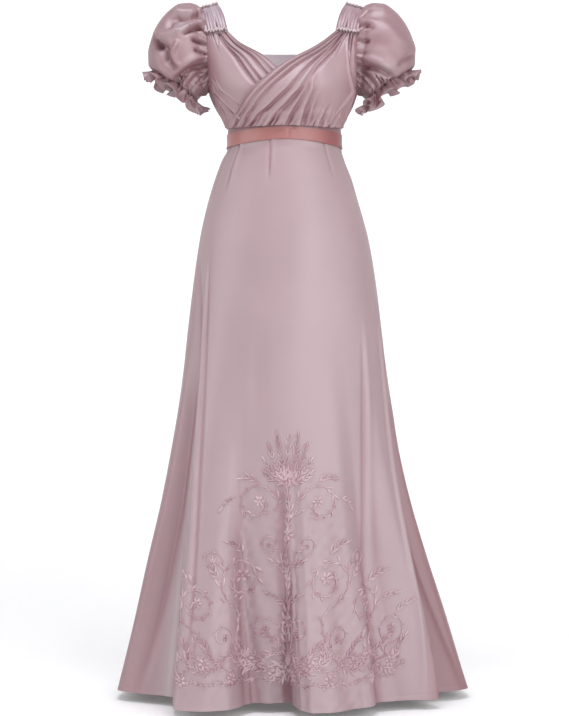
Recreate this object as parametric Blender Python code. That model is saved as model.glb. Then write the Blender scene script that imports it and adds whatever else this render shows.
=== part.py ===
"""Regency gown: a high-waisted satin evening gown, hollow as it is when worn.

Units are metres and +Z is up. The gown faces -Y and the wearer's left is +X. The origin lies midway
between the tops of the two shoulder straps, where the wearer's shoulders hold the gown up.

Every piece of cloth is a thin wall. Its outer face is a grid of points worked out by a function of two
parameters, and its inner face is the same grid moved inwards by the thickness of the cloth. Angles run
round the body in degrees: 0 is centre front, +90 the wearer's left side and 180 centre back.
"""

from collections import namedtuple
from functools import partial

import bmesh
import bpy
import numpy as np

# ---- driving dimensions --------------------------------------------------------------------------
CLOTH = 0.0016  # wall of every sewn piece of satin
PLEATED_CLOTH = 0.0018  # wall of the pleated pieces, measured outwards from the body
RIBBON = 0.0012
SEAM_GAP = 0.0003
SIDE_SEAM = 85.0  # degrees round from centre front, bodice
SIDE_SEAM_GAP = 0.1  # degrees that each panel keeps back from the side seam
SKIRT_SIDE_SEAM = 96.0  # degrees, skirt

WAIST_SEAM = -0.258  # where the bodice is gathered on to the waistband
SKIRT_SEAM = -0.288  # where the skirt hangs from the waistband
HEM = -1.392
WAIST_CENTRE = 0.0056  # the gown sways a little to the wearer's left below the bust

SATIN = (0.55, 0.42, 0.44, 1.0)
ROSE_RIBBON = (0.50, 0.27, 0.27, 1.0)
PEARL = (0.80, 0.70, 0.68, 1.0)

# ---- the body form that the bodice is cut for: one row for each level ------------------------------
BodySection = namedtuple("BodySection", "height centre half_width front back")
BODY = [
    BodySection(-0.310, WAIST_CENTRE, 0.117, 0.107, 0.093),
    BodySection(-0.288, WAIST_CENTRE, 0.115, 0.104, 0.090),
    BodySection(-0.258, WAIST_CENTRE, 0.115, 0.104, 0.090),
    BodySection(-0.240, 0.005, 0.126, 0.119, 0.093),
    BodySection(-0.215, 0.004, 0.140, 0.133, 0.096),
    BodySection(-0.190, 0.003, 0.150, 0.140, 0.098),
    BodySection(-0.160, 0.002, 0.160, 0.136, 0.100),
    BodySection(-0.130, 0.001, 0.170, 0.124, 0.099),
    BodySection(-0.100, 0.000, 0.180, 0.106, 0.096),
    BodySection(-0.070, 0.000, 0.187, 0.088, 0.089),
]
BUST_FULLNESS = 0.007
BUST_HEIGHT = -0.190
BUST_SPREAD = 0.072  # from centre front to the fullest point
BUST_WIDTH = 0.042
BUST_DEPTH = 0.038

# ---- bodice front: edges of the two crossed panels, as angle and height ----------------------------
EdgePoint = namedtuple("EdgePoint", "angle height")
OVER_NECKLINE = [
    EdgePoint(35.2, -0.0753),
    EdgePoint(20.0, -0.114),
    EdgePoint(2.0, -0.147),
    EdgePoint(-13.5, -0.180),
    EdgePoint(-30.0, -0.212),
    EdgePoint(-44.0, -0.236),
    EdgePoint(-66.0, WAIST_SEAM),
]
UNDER_NECKLINE = [
    EdgePoint(35.2, -0.0753),
    EdgePoint(27.5, -0.101),
    EdgePoint(12.5, -0.132),
    EdgePoint(3.0, -0.160),
    EdgePoint(-10.0, -0.190),
    EdgePoint(-30.0, -0.228),
    EdgePoint(-50.0, WAIST_SEAM),
]
ARMHOLE_AND_SIDE = [
    EdgePoint(54.0, -0.0774),
    EdgePoint(57.0, -0.105),
    EdgePoint(61.0, -0.130),
    EdgePoint(67.5, -0.160),
    EdgePoint(77.0, -0.180),
    EdgePoint(SIDE_SEAM, -0.192),
    EdgePoint(SIDE_SEAM, -0.225),
    EdgePoint(SIDE_SEAM, WAIST_SEAM),
]
PANEL_PLEATS = 10
PANEL_COLUMNS = 40
PANEL_ROWS = 11
OVER_LIFT = 0.0053  # how far the upper panel stands off the body form where it crosses
UNDER_LIFT = -0.0018  # the panel below it lies this far inside the form there
OVER_LIFT_GROWS = 0.35  # share of the way down a panel by which it has this lift, and
LIFT_FADES = 0.2  # share of its width, beside the side seam, over which it loses it
STRAP_JOIN_LIFT = 0.0010
STRAP_JOIN_FADES = 0.25  # share of the way down over which the join to the strap is taken up
PLAIN_EDGE = 0.06  # share of a panel's width beside the armhole and side seam that is not pleated
# Depth of the pleats down a panel, from the strap (0) to the waist seam (1).
PleatDepth = namedtuple("PleatDepth", "down depth")
PLEAT_DEPTHS = [
    PleatDepth(0.0, 0.0008),
    PleatDepth(0.2, 0.0015),
    PleatDepth(0.5, 0.0011),
    PleatDepth(0.8, 0.0018),
    PleatDepth(1.0, 0.0021),
]

# ---- bodice back -----------------------------------------------------------------------------------
BACK_NECKLINE = -0.089
BACK_CORNER = 127.0  # degrees, where armhole and neckline meet under the strap
BACK_ARMHOLE = [
    EdgePoint(SIDE_SEAM, -0.192),
    EdgePoint(100.0, -0.184),
    EdgePoint(110.0, -0.165),
    EdgePoint(118.0, -0.135),
    EdgePoint(124.0, -0.098),
    EdgePoint(BACK_CORNER, BACK_NECKLINE),
]
BACK_SIDE_COLUMNS = 9
BACK_MIDDLE_COLUMNS = 10
BACK_ROWS = 8

# ---- shoulder strap: rows from the front trim, over the shoulder, to the back ------------------------
StrapRow = namedtuple("StrapRow", "along inner_x outer_x inner_y outer_y inner_z outer_z")
STRAP = [
    StrapRow(0.00, 0.1070, 0.1505, -0.0762, -0.0570, -0.0735, -0.0755),
    StrapRow(0.17, 0.1115, 0.1545, -0.0690, -0.0510, -0.0545, -0.0590),
    StrapRow(0.34, 0.1185, 0.1590, -0.0480, -0.0380, -0.0300, -0.0360),
    StrapRow(0.50, 0.1295, 0.1635, -0.0010, -0.0010, -0.0065, -0.0155),
    StrapRow(0.66, 0.1235, 0.1610, 0.0450, 0.0360, -0.0270, -0.0340),
    StrapRow(0.83, 0.1130, 0.1560, 0.0700, 0.0510, -0.0570, -0.0610),
    StrapRow(1.00, 0.1060, 0.1510, 0.0800, 0.0580, -0.0885, -0.0885),
]
SHOULDER_LINE = 0.5
STRAP_LENGTH = 0.215
STRAP_JOIN_GAP = 0.005  # share of the strap left free to each side of the shoulder line, under the trim
STRAP_ROWS = 7
STRAP_PLEATS = 6
STRAP_PLEAT_DEPTH = 0.0011
PLEATED_STRAP_COLUMNS = 25
PLAIN_STRAP_COLUMNS = 7

# ---- pearl trims: narrow strips over the joins of the straps -----------------------------------------
TRIM_HEIGHT = 0.009
TRIM_THICK = 0.0030
TRIM_EDGE = 0.6  # share of its thickness that it keeps at its long edges
TRIM_CLEAR = 0.0016
TRIM_OVERHANG = 0.02  # share of the strap's width past each of its edges
TRIM_ROWS = 4
TRIM_COLUMNS = 9
TRIM_FROM_END = 0.026  # share of the strap between its front end and the middle of the front trim

# ---- puff sleeve: one ring for each row, for the wearer's left arm -----------------------------------
# outer_* is the ring's outer and upper end, inner_* its end under the arm, half_depth its reach to
# front and back, drop how much lower its front is, gather the height of its gathers.
SleeveRing = namedtuple(
    "SleeveRing", "name outer_x outer_z inner_x inner_z half_depth drop gather"
)
SLEEVE = [
    SleeveRing("armhole seam", 0.1670, -0.010, 0.1505, -0.1900, 0.0585, 0.000, 0.0000),
    SleeveRing("gathers", 0.1750, -0.008, 0.1562, -0.1925, 0.0665, 0.000, 0.0024),
    SleeveRing("shoulder", 0.1880, -0.004, 0.1585, -0.1945, 0.0745, 0.000, 0.0026),
    SleeveRing("crown", 0.2060, -0.005, 0.1605, -0.1962, 0.0805, 0.001, 0.0014),
    SleeveRing("upper puff", 0.2290, -0.020, 0.1622, -0.1977, 0.0840, 0.001, 0.0004),
    SleeveRing("middle puff", 0.2490, -0.043, 0.1638, -0.1991, 0.0850, 0.002, 0.0000),
    SleeveRing("full puff", 0.2640, -0.073, 0.1653, -0.2004, 0.0820, 0.003, 0.0000),
    SleeveRing("outer puff", 0.2710, -0.104, 0.1668, -0.2015, 0.0760, 0.004, 0.0006),
    SleeveRing("overhang", 0.2700, -0.127, 0.1682, -0.2024, 0.0680, 0.004, 0.0018),
    SleeveRing("under fold", 0.2620, -0.136, 0.1695, -0.2031, 0.0590, 0.003, 0.0020),
    SleeveRing("elastic", 0.2520, -0.138, 0.1708, -0.2036, 0.0500, 0.001, 0.0000),
]
FRILL = [
    SleeveRing("frill seam", 0.2528, -0.1390, 0.1716, -0.2046, 0.0500, 0.001, 0.0000),
    SleeveRing("frill", 0.2675, -0.1460, 0.1700, -0.2140, 0.0560, 0.002, 0.0034),
    SleeveRing("frill edge", 0.2810, -0.1495, 0.1660, -0.2220, 0.0620, 0.003, 0.0058),
]
SLEEVE_GATHERS = 10
SLEEVE_COLUMNS = 40
FRILL_WAVES = 14
FRILL_COLUMNS = 70
ARMHOLE_CENTRE = -0.105
ARMHOLE_STEP = 0.0006  # the sleeve starts this far out from the armhole's edge

# ---- waistband and ribbon ------------------------------------------------------------------------
BAND_COLUMNS = 40
RIBBON_CLEAR = 0.0008
RIBBON_TOP = -0.2680
RIBBON_FOOT = -0.2990
RIBBON_ARCH = 0.0070  # the lower edge rises this far at centre front
RIBBON_ARCH_WIDTH = 62.0  # degrees to each side over which it falls again

# ---- skirt: one row for each level -----------------------------------------------------------------
SkirtRow = namedtuple("SkirtRow", "height right left front back")
SKIRT = [
    SkirtRow(SKIRT_SEAM - SEAM_GAP, 0.1148, 0.1148, 0.1040, 0.0900),
    SkirtRow(-0.301, 0.1154, 0.1154, 0.1045, 0.0905),
    SkirtRow(-0.322, 0.1260, 0.1210, 0.1095, 0.0970),
    SkirtRow(-0.362, 0.1410, 0.1370, 0.1180, 0.1100),
    SkirtRow(-0.402, 0.1530, 0.1490, 0.1260, 0.1230),
    SkirtRow(-0.443, 0.1630, 0.1610, 0.1330, 0.1350),
    SkirtRow(-0.483, 0.1712, 0.1712, 0.1390, 0.1450),
    SkirtRow(-0.565, 0.1840, 0.1840, 0.1480, 0.1600),
    SkirtRow(-0.666, 0.1975, 0.1950, 0.1560, 0.1720),
    SkirtRow(-0.768, 0.2095, 0.2065, 0.1630, 0.1830),
    SkirtRow(-0.889, 0.2275, 0.2250, 0.1710, 0.1970),
    SkirtRow(-1.011, 0.2480, 0.2525, 0.1790, 0.2140),
    SkirtRow(-1.133, 0.2750, 0.2880, 0.1870, 0.2330),
    SkirtRow(-1.255, 0.3025, 0.3280, 0.1945, 0.2550),
    SkirtRow(HEM, 0.3380, 0.3730, 0.2020, 0.2820),
]
# Folds that open towards the hem. Angles are of the fold's middle, before and after are its reach to
# each side, flat the share of that reach that is level, and depth its height at the hem (in or out).
SkirtFold = namedtuple("SkirtFold", "name top_angle hem_angle before after flat start depth")
SKIRT_FOLDS = [
    SkirtFold("right side valley", -74.0, -69.0, 18.0, 16.0, 0.10, -0.42, -0.060),
    SkirtFold("right front lobe", -54.0, -43.5, 11.5, 24.0, 0.10, -0.52, 0.046),
    SkirtFold("centre valley", -16.0, -9.5, 18.5, 17.5, 0.75, -0.88, -0.060),
    SkirtFold("left front lobe", 12.0, 14.0, 7.0, 27.0, 0.20, -0.88, 0.034),
    SkirtFold("left front hollow", 46.0, 58.0, 18.0, 15.0, 0.20, -0.66, -0.044),
    SkirtFold("left side valley", 86.0, 78.5, 9.0, 11.0, 0.00, -0.74, -0.066),
    SkirtFold("left back lobe", 118.0, 116.0, 15.0, 15.0, 0.20, -0.50, 0.022),
    SkirtFold("left back valley", 140.0, 139.0, 14.0, 14.0, 0.10, -0.46, -0.040),
    SkirtFold("left train fold", 160.0, 161.0, 12.0, 12.0, 0.10, -0.42, 0.030),
    SkirtFold("centre back valley", 180.0, 180.0, 13.0, 13.0, 0.10, -0.42, -0.038),
    SkirtFold("right train fold", -160.0, -161.0, 12.0, 12.0, 0.10, -0.42, 0.030),
    SkirtFold("right back valley", -140.0, -139.0, 14.0, 14.0, 0.10, -0.46, -0.040),
    SkirtFold("right back lobe", -118.0, -116.0, 15.0, 15.0, 0.20, -0.50, 0.022),
]
FOLD_GROWTH = 1.25  # folds deepen faster than in proportion as they near the hem
FRONT_COLUMNS = 44
BACK_COLUMNS = 33
SKIRT_SEAM_GAP = 0.09  # degrees that each panel keeps back from the side seam

# ---- how finely curves are read --------------------------------------------------------------------
EDGE_SAMPLES = 60
HEM_SAMPLES = 1500
NORMAL_STEP = 0.5  # degrees to each side of a point between which its level normal is taken
SHARP_ANGLE = 50.0  # degrees between faces from which an edge is shown sharp


# ---- curves ----------------------------------------------------------------------------------------
def smooth_through(knots, values, at):
    """Cubic pieces through values at rising knots, with slopes that never overshoot a knot's value."""
    knots = np.asarray(knots, float)
    values = np.asarray(values, float)
    chords = np.diff(values) / np.diff(knots)
    before, after = chords[:-1], chords[1:]
    same_way = before * after > 0
    middle = np.where(same_way, 2 * before * after / np.where(same_way, before + after, 1.0), 0.0)
    slopes = np.concatenate(([chords[0]], middle, [chords[-1]]))
    at = np.clip(at, knots[0], knots[-1])
    i = np.clip(np.searchsorted(knots, at) - 1, 0, len(knots) - 2)
    gap = knots[i + 1] - knots[i]
    t = (at - knots[i]) / gap
    start = (1 + 2 * t) * (1 - t) ** 2 * values[i] + t * (1 - t) ** 2 * gap * slopes[i]
    end = t * t * (3 - 2 * t) * values[i + 1] + t * t * (t - 1) * gap * slopes[i + 1]
    return start + end


def column(rows, key, name, at):
    """One named column of a table, smoothly read at the given values of its key column."""
    rows = sorted(rows, key=lambda row: getattr(row, key))
    knots = [getattr(row, key) for row in rows]
    return smooth_through(knots, [getattr(row, name) for row in rows], at)


def ease(t):
    """0 up to t = 0, 1 from t = 1, and an S-shaped rise between."""
    t = np.clip(t, 0.0, 1.0)
    return t * t * (3 - 2 * t)


def bump(t, flat):
    """1 within flat of the middle, falling to 0 at t = 1 on each side."""
    return 1.0 - ease((np.abs(t) - flat) / (1.0 - flat))


def edge_curve(points, down):
    """A panel's edge as (angle, height) at shares of its length, measured on the body."""
    angle = np.array([p.angle for p in points])
    height = np.array([p.height for p in points])
    girth = np.radians(angle) * np.mean([row.half_width for row in BODY])
    run = np.concatenate(([0.0], np.cumsum(np.hypot(np.diff(girth), np.diff(height)))))
    run /= run[-1]
    return smooth_through(run, angle, down), smooth_through(run, height, down)


# ---- surfaces --------------------------------------------------------------------------------------
def on_body(angle, height, lift):
    """Points on the body form: an ellipse at each height, let out by lift, fuller over the bust."""
    turn = np.radians(angle)
    half_width = column(BODY, "height", "half_width", height) + lift
    front = column(BODY, "height", "front", height) + lift
    back = column(BODY, "height", "back", height) + lift
    x = half_width * np.sin(turn)
    y = -np.where(np.cos(turn) > 0, front, back) * np.cos(turn)
    across = np.exp(-(((np.abs(x) - BUST_SPREAD) / BUST_WIDTH) ** 2))
    upright = np.exp(-(((height - BUST_HEIGHT) / BUST_DEPTH) ** 2))
    y = y - BUST_FULLNESS * across * upright * (np.cos(turn) > 0)
    centre = column(BODY, "height", "centre", height)
    return np.stack([x + centre, y, height + 0 * x], axis=-1)


def panel_grid(neckline, rows, columns):
    """(across, down, angle, height) of a front panel: the four edges blended as in a Coons patch."""
    across, down = np.meshgrid(np.linspace(0, 1, columns), np.linspace(0, 1, rows))
    inner = edge_curve(neckline, down)
    outer = edge_curve(ARMHOLE_AND_SIDE, down)
    blended = []
    for k in (0, 1):
        top = inner[k][0, 0] + across * (outer[k][0, 0] - inner[k][0, 0])
        foot = inner[k][-1, 0] + across * (outer[k][-1, 0] - inner[k][-1, 0])
        sides = (1 - across) * inner[k] + across * outer[k]
        ends = (1 - down) * top + down * foot
        corners = (1 - down) * ((1 - across) * inner[k][0, 0] + across * outer[k][0, 0])
        corners += down * ((1 - across) * inner[k][-1, 0] + across * outer[k][-1, 0])
        blended.append(sides + ends - corners)
    return across, down, blended[0], blended[1] + SEAM_GAP


def front_rise(across, down, lift):
    """How far a front panel stands off the body form: its lift, its join to the strap and its pleats."""
    depth = column(PLEAT_DEPTHS, "down", "depth", down) * ease((1 - across) / PLAIN_EDGE)
    pleats = depth * np.cos(2 * np.pi * PANEL_PLEATS * across)
    lifted = lift * ease(down / OVER_LIFT_GROWS) * ease((1 - across) / LIFT_FADES)
    return lifted + STRAP_JOIN_LIFT * (1 - ease(down / STRAP_JOIN_FADES)) + pleats


def armhole_seam(turn, wearers_right):
    """Where the sleeve is sewn on: strap, back and front edges as one ring, read at these turns."""
    side = -1.0 if wearers_right else 1.0
    as_left = np.array([side, 1.0, 1.0])
    down = np.linspace(0, 1, EDGE_SAMPLES)
    front_angle, front_height = edge_curve(ARMHOLE_AND_SIDE, down)
    on_armhole = front_angle < SIDE_SEAM - SIDE_SEAM_GAP
    rise = front_rise(1.0, down[on_armhole], 0.0)
    front = on_body(side * front_angle[on_armhole], front_height[on_armhole] + SEAM_GAP, rise) * as_left
    back_angle = np.linspace(SIDE_SEAM, BACK_CORNER, EDGE_SAMPLES)
    back_height = column(BACK_ARMHOLE, "angle", "height", back_angle)
    back = on_body(side * back_angle, back_height, 0.0) * as_left
    along = np.linspace(0, 1, EDGE_SAMPLES)
    strap = strap_points(along, np.ones(EDGE_SAMPLES), np.zeros(EDGE_SAMPLES))
    ring = np.concatenate([front, back, strap])
    bearing = np.arctan2(-ring[:, 1], ring[:, 2] - ARMHOLE_CENTRE) % (2 * np.pi)
    order = np.argsort(bearing)
    axes = [np.interp(turn, bearing[order], ring[order, k], period=2 * np.pi) for k in range(3)]
    return np.stack(axes, axis=-1)


def skirt_points(angle, height):
    """The skirt: an ellipse in four quarters at each height, with folds added along the radius."""
    turn = np.radians(angle)
    side = np.where(np.sin(turn) < 0, "right", "left")
    half_width = np.where(
        side == "right",
        column(SKIRT, "height", "right", height),
        column(SKIRT, "height", "left", height),
    )
    depth = np.where(
        np.cos(turn) > 0,
        column(SKIRT, "height", "front", height),
        column(SKIRT, "height", "back", height),
    )
    radius = 1 / np.hypot(np.sin(turn) / half_width, np.cos(turn) / depth)
    for fold in SKIRT_FOLDS:
        fallen = np.clip((fold.start - height) / (fold.start - HEM), 0.0, 1.0)
        middle = fold.top_angle + (fold.hem_angle - fold.top_angle) * fallen
        off = (angle - middle + 180.0) % 360.0 - 180.0
        share = off / np.where(off < 0, fold.before, fold.after)
        radius = radius + fold.depth * fallen**FOLD_GROWTH * bump(share, fold.flat)
    x = WAIST_CENTRE + radius * np.sin(turn)
    return np.stack([x, -radius * np.cos(turn), height + 0 * x], axis=-1)


def skirt_wall(angle, height):
    """The skirt's outer and inner faces: its points, and the same moved in along the level normal."""
    outer = skirt_points(angle, height)
    along = skirt_points(angle + NORMAL_STEP, height) - skirt_points(angle - NORMAL_STEP, height)
    normal = np.stack([-along[..., 1], along[..., 0], 0 * angle], axis=-1)
    normal = normal / np.linalg.norm(normal, axis=-1, keepdims=True)
    return outer, outer + normal * CLOTH


def even_angles(first_angle, last_angle, columns):
    """Angles that share the hem's length evenly, so that steep folds get as many points as level ones."""
    fine = np.linspace(first_angle, last_angle, HEM_SAMPLES)
    hem = skirt_points(fine, HEM + 0 * fine)
    run = np.concatenate(([0.0], np.cumsum(np.linalg.norm(np.diff(hem, axis=0), axis=1))))
    return np.interp(np.linspace(0, run[-1], columns), run, fine)


def sleeve_points(rings, columns, gathers, seam):
    """Rings of the sleeve, each an ellipse between its outer and inner ends, with gathers round it.

    Where seam is given, it works out the first ring from the armhole."""
    turn = np.linspace(0, 2 * np.pi, columns, endpoint=False)
    grid = []
    for number, ring in enumerate(rings):
        outer = np.array([ring.outer_x, 0.0, ring.outer_z])
        inner = np.array([ring.inner_x, 0.0, ring.inner_z])
        middle, arm = (outer + inner) / 2, (outer - inner) / 2
        points = middle + np.outer(np.cos(turn), arm)
        points[:, 1] -= ring.half_depth * np.sin(turn)
        points[:, 2] -= ring.drop * np.sin(turn)
        if seam and number == 0:
            points = seam(turn) + np.array([ARMHOLE_STEP, 0.0, 0.0])
        grid.append(points)
    grid = np.array(grid)
    gather = np.array([ring.gather for ring in rings])[:, None]
    wave = gather * np.cos(gathers * turn)
    return grid + outward(grid, True) * wave[:, :, None]


def strap_points(along, across, lift):
    """The strap's band over the shoulder; across runs from the neck side to the arm side."""
    ends = []
    for side in ("inner", "outer"):
        ends.append([column(STRAP, "along", f"{side}_{axis}", along) for axis in "xyz"])
    inner, outer = np.moveaxis(np.array(ends), 1, -1)
    points = inner + across[..., None] * (outer - inner)
    return points + outward(points, False) * lift[..., None]


def outward(grid, closed):
    """Unit normals of a grid of points, from the differences of its rows and columns."""
    down = np.gradient(grid, axis=0)
    if closed:
        across = (np.roll(grid, -1, axis=1) - np.roll(grid, 1, axis=1)) / 2
    else:
        across = np.gradient(grid, axis=1)
    normal = np.cross(across, down)
    return normal / np.linalg.norm(normal, axis=-1, keepdims=True)


# ---- meshes ----------------------------------------------------------------------------------------
def satin(name, colour, roughness):
    """A plain Principled material of this colour."""
    material = bpy.data.materials.new(name)
    material.use_nodes = True
    shader = material.node_tree.nodes["Principled BSDF"]
    shader.inputs["Base Color"].default_value = colour
    shader.inputs["Roughness"].default_value = roughness
    shader.inputs["Metallic"].default_value = 0.0
    return material


def wall(name, outer, inner, closed, colour, roughness=0.4):
    """A thin closed wall between two grids of points, joined along every open edge."""
    rows, columns = outer.shape[:2]
    count = rows * columns
    points = np.concatenate([outer.reshape(-1, 3), inner.reshape(-1, 3)])
    last = columns if closed else columns - 1
    faces = []
    for r in range(rows - 1):
        for c in range(last):
            d = (c + 1) % columns
            corners = (r * columns + c, r * columns + d, (r + 1) * columns + d, (r + 1) * columns + c)
            faces.append(corners)
            faces.append(tuple(count + k for k in reversed(corners)))
    for rim in (list(range(columns)), list(range((rows - 1) * columns, rows * columns))):
        pairs = list(zip(rim, rim[1:] + rim[:1] if closed else rim[1:]))
        faces += [(a, b, count + b, count + a) for a, b in pairs]
    if not closed:
        for c in (0, columns - 1):
            side = [r * columns + c for r in range(rows)]
            faces += [(a, b, count + b, count + a) for a, b in zip(side, side[1:])]
    mesh = bpy.data.meshes.new(name)
    mesh.from_pydata(points.tolist(), [], faces)
    work = bmesh.new()
    work.from_mesh(mesh)
    bmesh.ops.recalc_face_normals(work, faces=work.faces)
    work.to_mesh(mesh)
    work.free()
    mesh.shade_smooth()
    mesh.set_sharp_from_angle(angle=np.radians(SHARP_ANGLE))
    mesh.materials.append(satin(name, colour, roughness))
    obj = bpy.data.objects.new(name, mesh)
    bpy.context.scene.collection.objects.link(obj)
    return obj


def mirrored(grid):
    """The same grid on the wearer's other side, with its columns turned so that it still faces out."""
    return (grid * np.array([-1.0, 1.0, 1.0]))[:, ::-1]


# ---- pieces ----------------------------------------------------------------------------------------
def crossed_front(name, neckline, lift, wearers_right):
    """One gathered front panel: fine pleats fan out from the strap to the waist seam."""
    across, down, angle, height = panel_grid(neckline, PANEL_ROWS, PANEL_COLUMNS + 1)
    rise = front_rise(across, down, lift)
    angle[:, -1] -= SIDE_SEAM_GAP
    if wearers_right:
        angle = -angle
    outer = on_body(angle, height, rise)
    inner = on_body(angle, height, rise - PLEATED_CLOTH)
    wall(name, outer, inner, False, SATIN)


def bodice_back():
    """The plain back panel, from side seam to side seam, cut straight across below the neck."""
    left = np.linspace(SIDE_SEAM + SIDE_SEAM_GAP, BACK_CORNER, BACK_SIDE_COLUMNS)
    middle = np.linspace(BACK_CORNER, 360.0 - BACK_CORNER, BACK_MIDDLE_COLUMNS)
    angles = np.concatenate([left, middle[1:-1], 360.0 - left[::-1]])
    share, angle = np.meshgrid(np.linspace(0, 1, BACK_ROWS), angles, indexing="ij")
    fold = np.minimum(angle, 360.0 - angle)
    top = column(BACK_ARMHOLE, "angle", "height", fold)
    foot = WAIST_SEAM + SEAM_GAP
    height = top + share * (foot - top)
    lift = 0 * angle
    outer = on_body(angle, height, lift)
    wall("bodice_back", outer, on_body(angle, height, lift - CLOTH), False, SATIN)


def shoulder_strap(name, start, end, columns, pleat_depth, wearers_right):
    """A length of strap between two shares of the way over the shoulder."""
    shares = np.linspace(start, end, STRAP_ROWS)
    along, across = np.meshgrid(shares, np.linspace(0, 1, columns), indexing="ij")
    relief = pleat_depth * np.cos(2 * np.pi * STRAP_PLEATS * across)
    outer = strap_points(along, across, relief)
    inner = strap_points(along, across, relief - PLEATED_CLOTH)
    if wearers_right:
        outer, inner = mirrored(outer), mirrored(inner)
    wall(name, outer, inner, False, SATIN)


def pearl_trim(name, along, wearers_right):
    """A strip across the strap that carries the pearls, slightly rounded outside."""
    half = TRIM_HEIGHT / 2 / STRAP_LENGTH
    across_ends = np.linspace(-TRIM_OVERHANG, 1 + TRIM_OVERHANG, TRIM_COLUMNS)
    around, across = np.meshgrid(np.linspace(-1, 1, TRIM_ROWS), across_ends, indexing="ij")
    crown = TRIM_THICK * (TRIM_EDGE + (1 - TRIM_EDGE) * np.cos(around * np.pi / 2))
    outer = strap_points(along + half * around, across, TRIM_CLEAR + crown)
    inner = strap_points(along + half * around, across, TRIM_CLEAR + 0 * across)
    if wearers_right:
        outer, inner = mirrored(outer), mirrored(inner)
    wall(name, outer, inner, False, PEARL, 0.25)


def sleeve_part(name, rings, columns, gathers, seam, wearers_right):
    """A closed stretch of the sleeve through its rings: the puff, or the frill below the elastic."""
    outer = sleeve_points(rings, columns, gathers, seam)
    inner = outer - outward(outer, True) * CLOTH
    if wearers_right:
        outer, inner = mirrored(outer), mirrored(inner)
    wall(name, outer, inner, True, SATIN)


def waistband():
    """The plain band that the bodice is gathered on to."""
    shares = np.linspace(WAIST_SEAM, SKIRT_SEAM, 2)
    height, angle = np.meshgrid(shares, np.arange(BAND_COLUMNS) * 360.0 / BAND_COLUMNS, indexing="ij")
    outer = on_body(angle, height, 0 * angle)
    wall("waistband", outer, on_body(angle, height, 0 * angle - CLOTH), True, SATIN)


def waist_ribbon():
    """The ribbon belt over the waistband, its lower edge arched at centre front."""
    share, angle = np.meshgrid(
        np.linspace(0, 1, 3), np.arange(BAND_COLUMNS) * 360.0 / BAND_COLUMNS, indexing="ij"
    )
    off_centre = (angle + 180.0) % 360.0 - 180.0
    foot = RIBBON_FOOT + RIBBON_ARCH * bump(off_centre / RIBBON_ARCH_WIDTH, 0.0)
    height = RIBBON_TOP + share * (foot - RIBBON_TOP)
    stand_off = RIBBON_CLEAR + 0 * angle
    outer = on_body(angle, height, stand_off + RIBBON)
    wall("waist_ribbon", outer, on_body(angle, height, stand_off), True, ROSE_RIBBON)


def skirt_panel(name, first_angle, last_angle, columns):
    """A panel of the skirt between two side seams, from the waistband to the hem."""
    heights = [row.height for row in SKIRT]
    angles = even_angles(first_angle, last_angle, columns)
    height, angle = np.meshgrid(heights, angles, indexing="ij")
    outer, inner = skirt_wall(angle, height)
    wall(name, outer, inner, False, SATIN)


def main():
    for obj in list(bpy.data.objects):
        bpy.data.objects.remove(obj)
    crossed_front("bodice_front_over", OVER_NECKLINE, OVER_LIFT, False)
    crossed_front("bodice_front_under", UNDER_NECKLINE, UNDER_LIFT, True)
    bodice_back()
    front_end, back_start = SHOULDER_LINE - STRAP_JOIN_GAP, SHOULDER_LINE + STRAP_JOIN_GAP
    pleated, plain = (PLEATED_STRAP_COLUMNS, STRAP_PLEAT_DEPTH), (PLAIN_STRAP_COLUMNS, 0.0)
    for side, wearers_right in (("left", False), ("right", True)):
        shoulder_strap(f"strap_front_{side}", 0.0, front_end, *pleated, wearers_right)
        shoulder_strap(f"strap_back_{side}", back_start, 1.0, *plain, wearers_right)
        pearl_trim(f"pearl_trim_front_{side}", TRIM_FROM_END, wearers_right)
        pearl_trim(f"pearl_trim_shoulder_{side}", SHOULDER_LINE, wearers_right)
        seam = partial(armhole_seam, wearers_right=wearers_right)
        sleeve_part(f"sleeve_{side}", SLEEVE, SLEEVE_COLUMNS, SLEEVE_GATHERS, seam, wearers_right)
        sleeve_part(f"sleeve_frill_{side}", FRILL, FRILL_COLUMNS, FRILL_WAVES, None, wearers_right)
    waistband()
    waist_ribbon()
    front_edge, back_edge = SKIRT_SIDE_SEAM - SKIRT_SEAM_GAP, SKIRT_SIDE_SEAM + SKIRT_SEAM_GAP
    skirt_panel("skirt_front", -front_edge, front_edge, FRONT_COLUMNS)
    skirt_panel("skirt_back", back_edge, 360.0 - back_edge, BACK_COLUMNS)


main()
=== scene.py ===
"""Regency gown, dressed: satin skirt, crossed bodice, ruched straps, puff sleeves, ribbon and embroidery.

Units are metres, +Z is up, the gown faces -Y and the wearer's left is +X. Angles run round the body in
degrees: 0 is centre front, +90 the wearer's left side and 180 centre back. Every piece of cloth is a
function of two measures on the form of its solid, with its creases raised or sunk along the normal.
"""

from collections import namedtuple
from functools import partial

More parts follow.
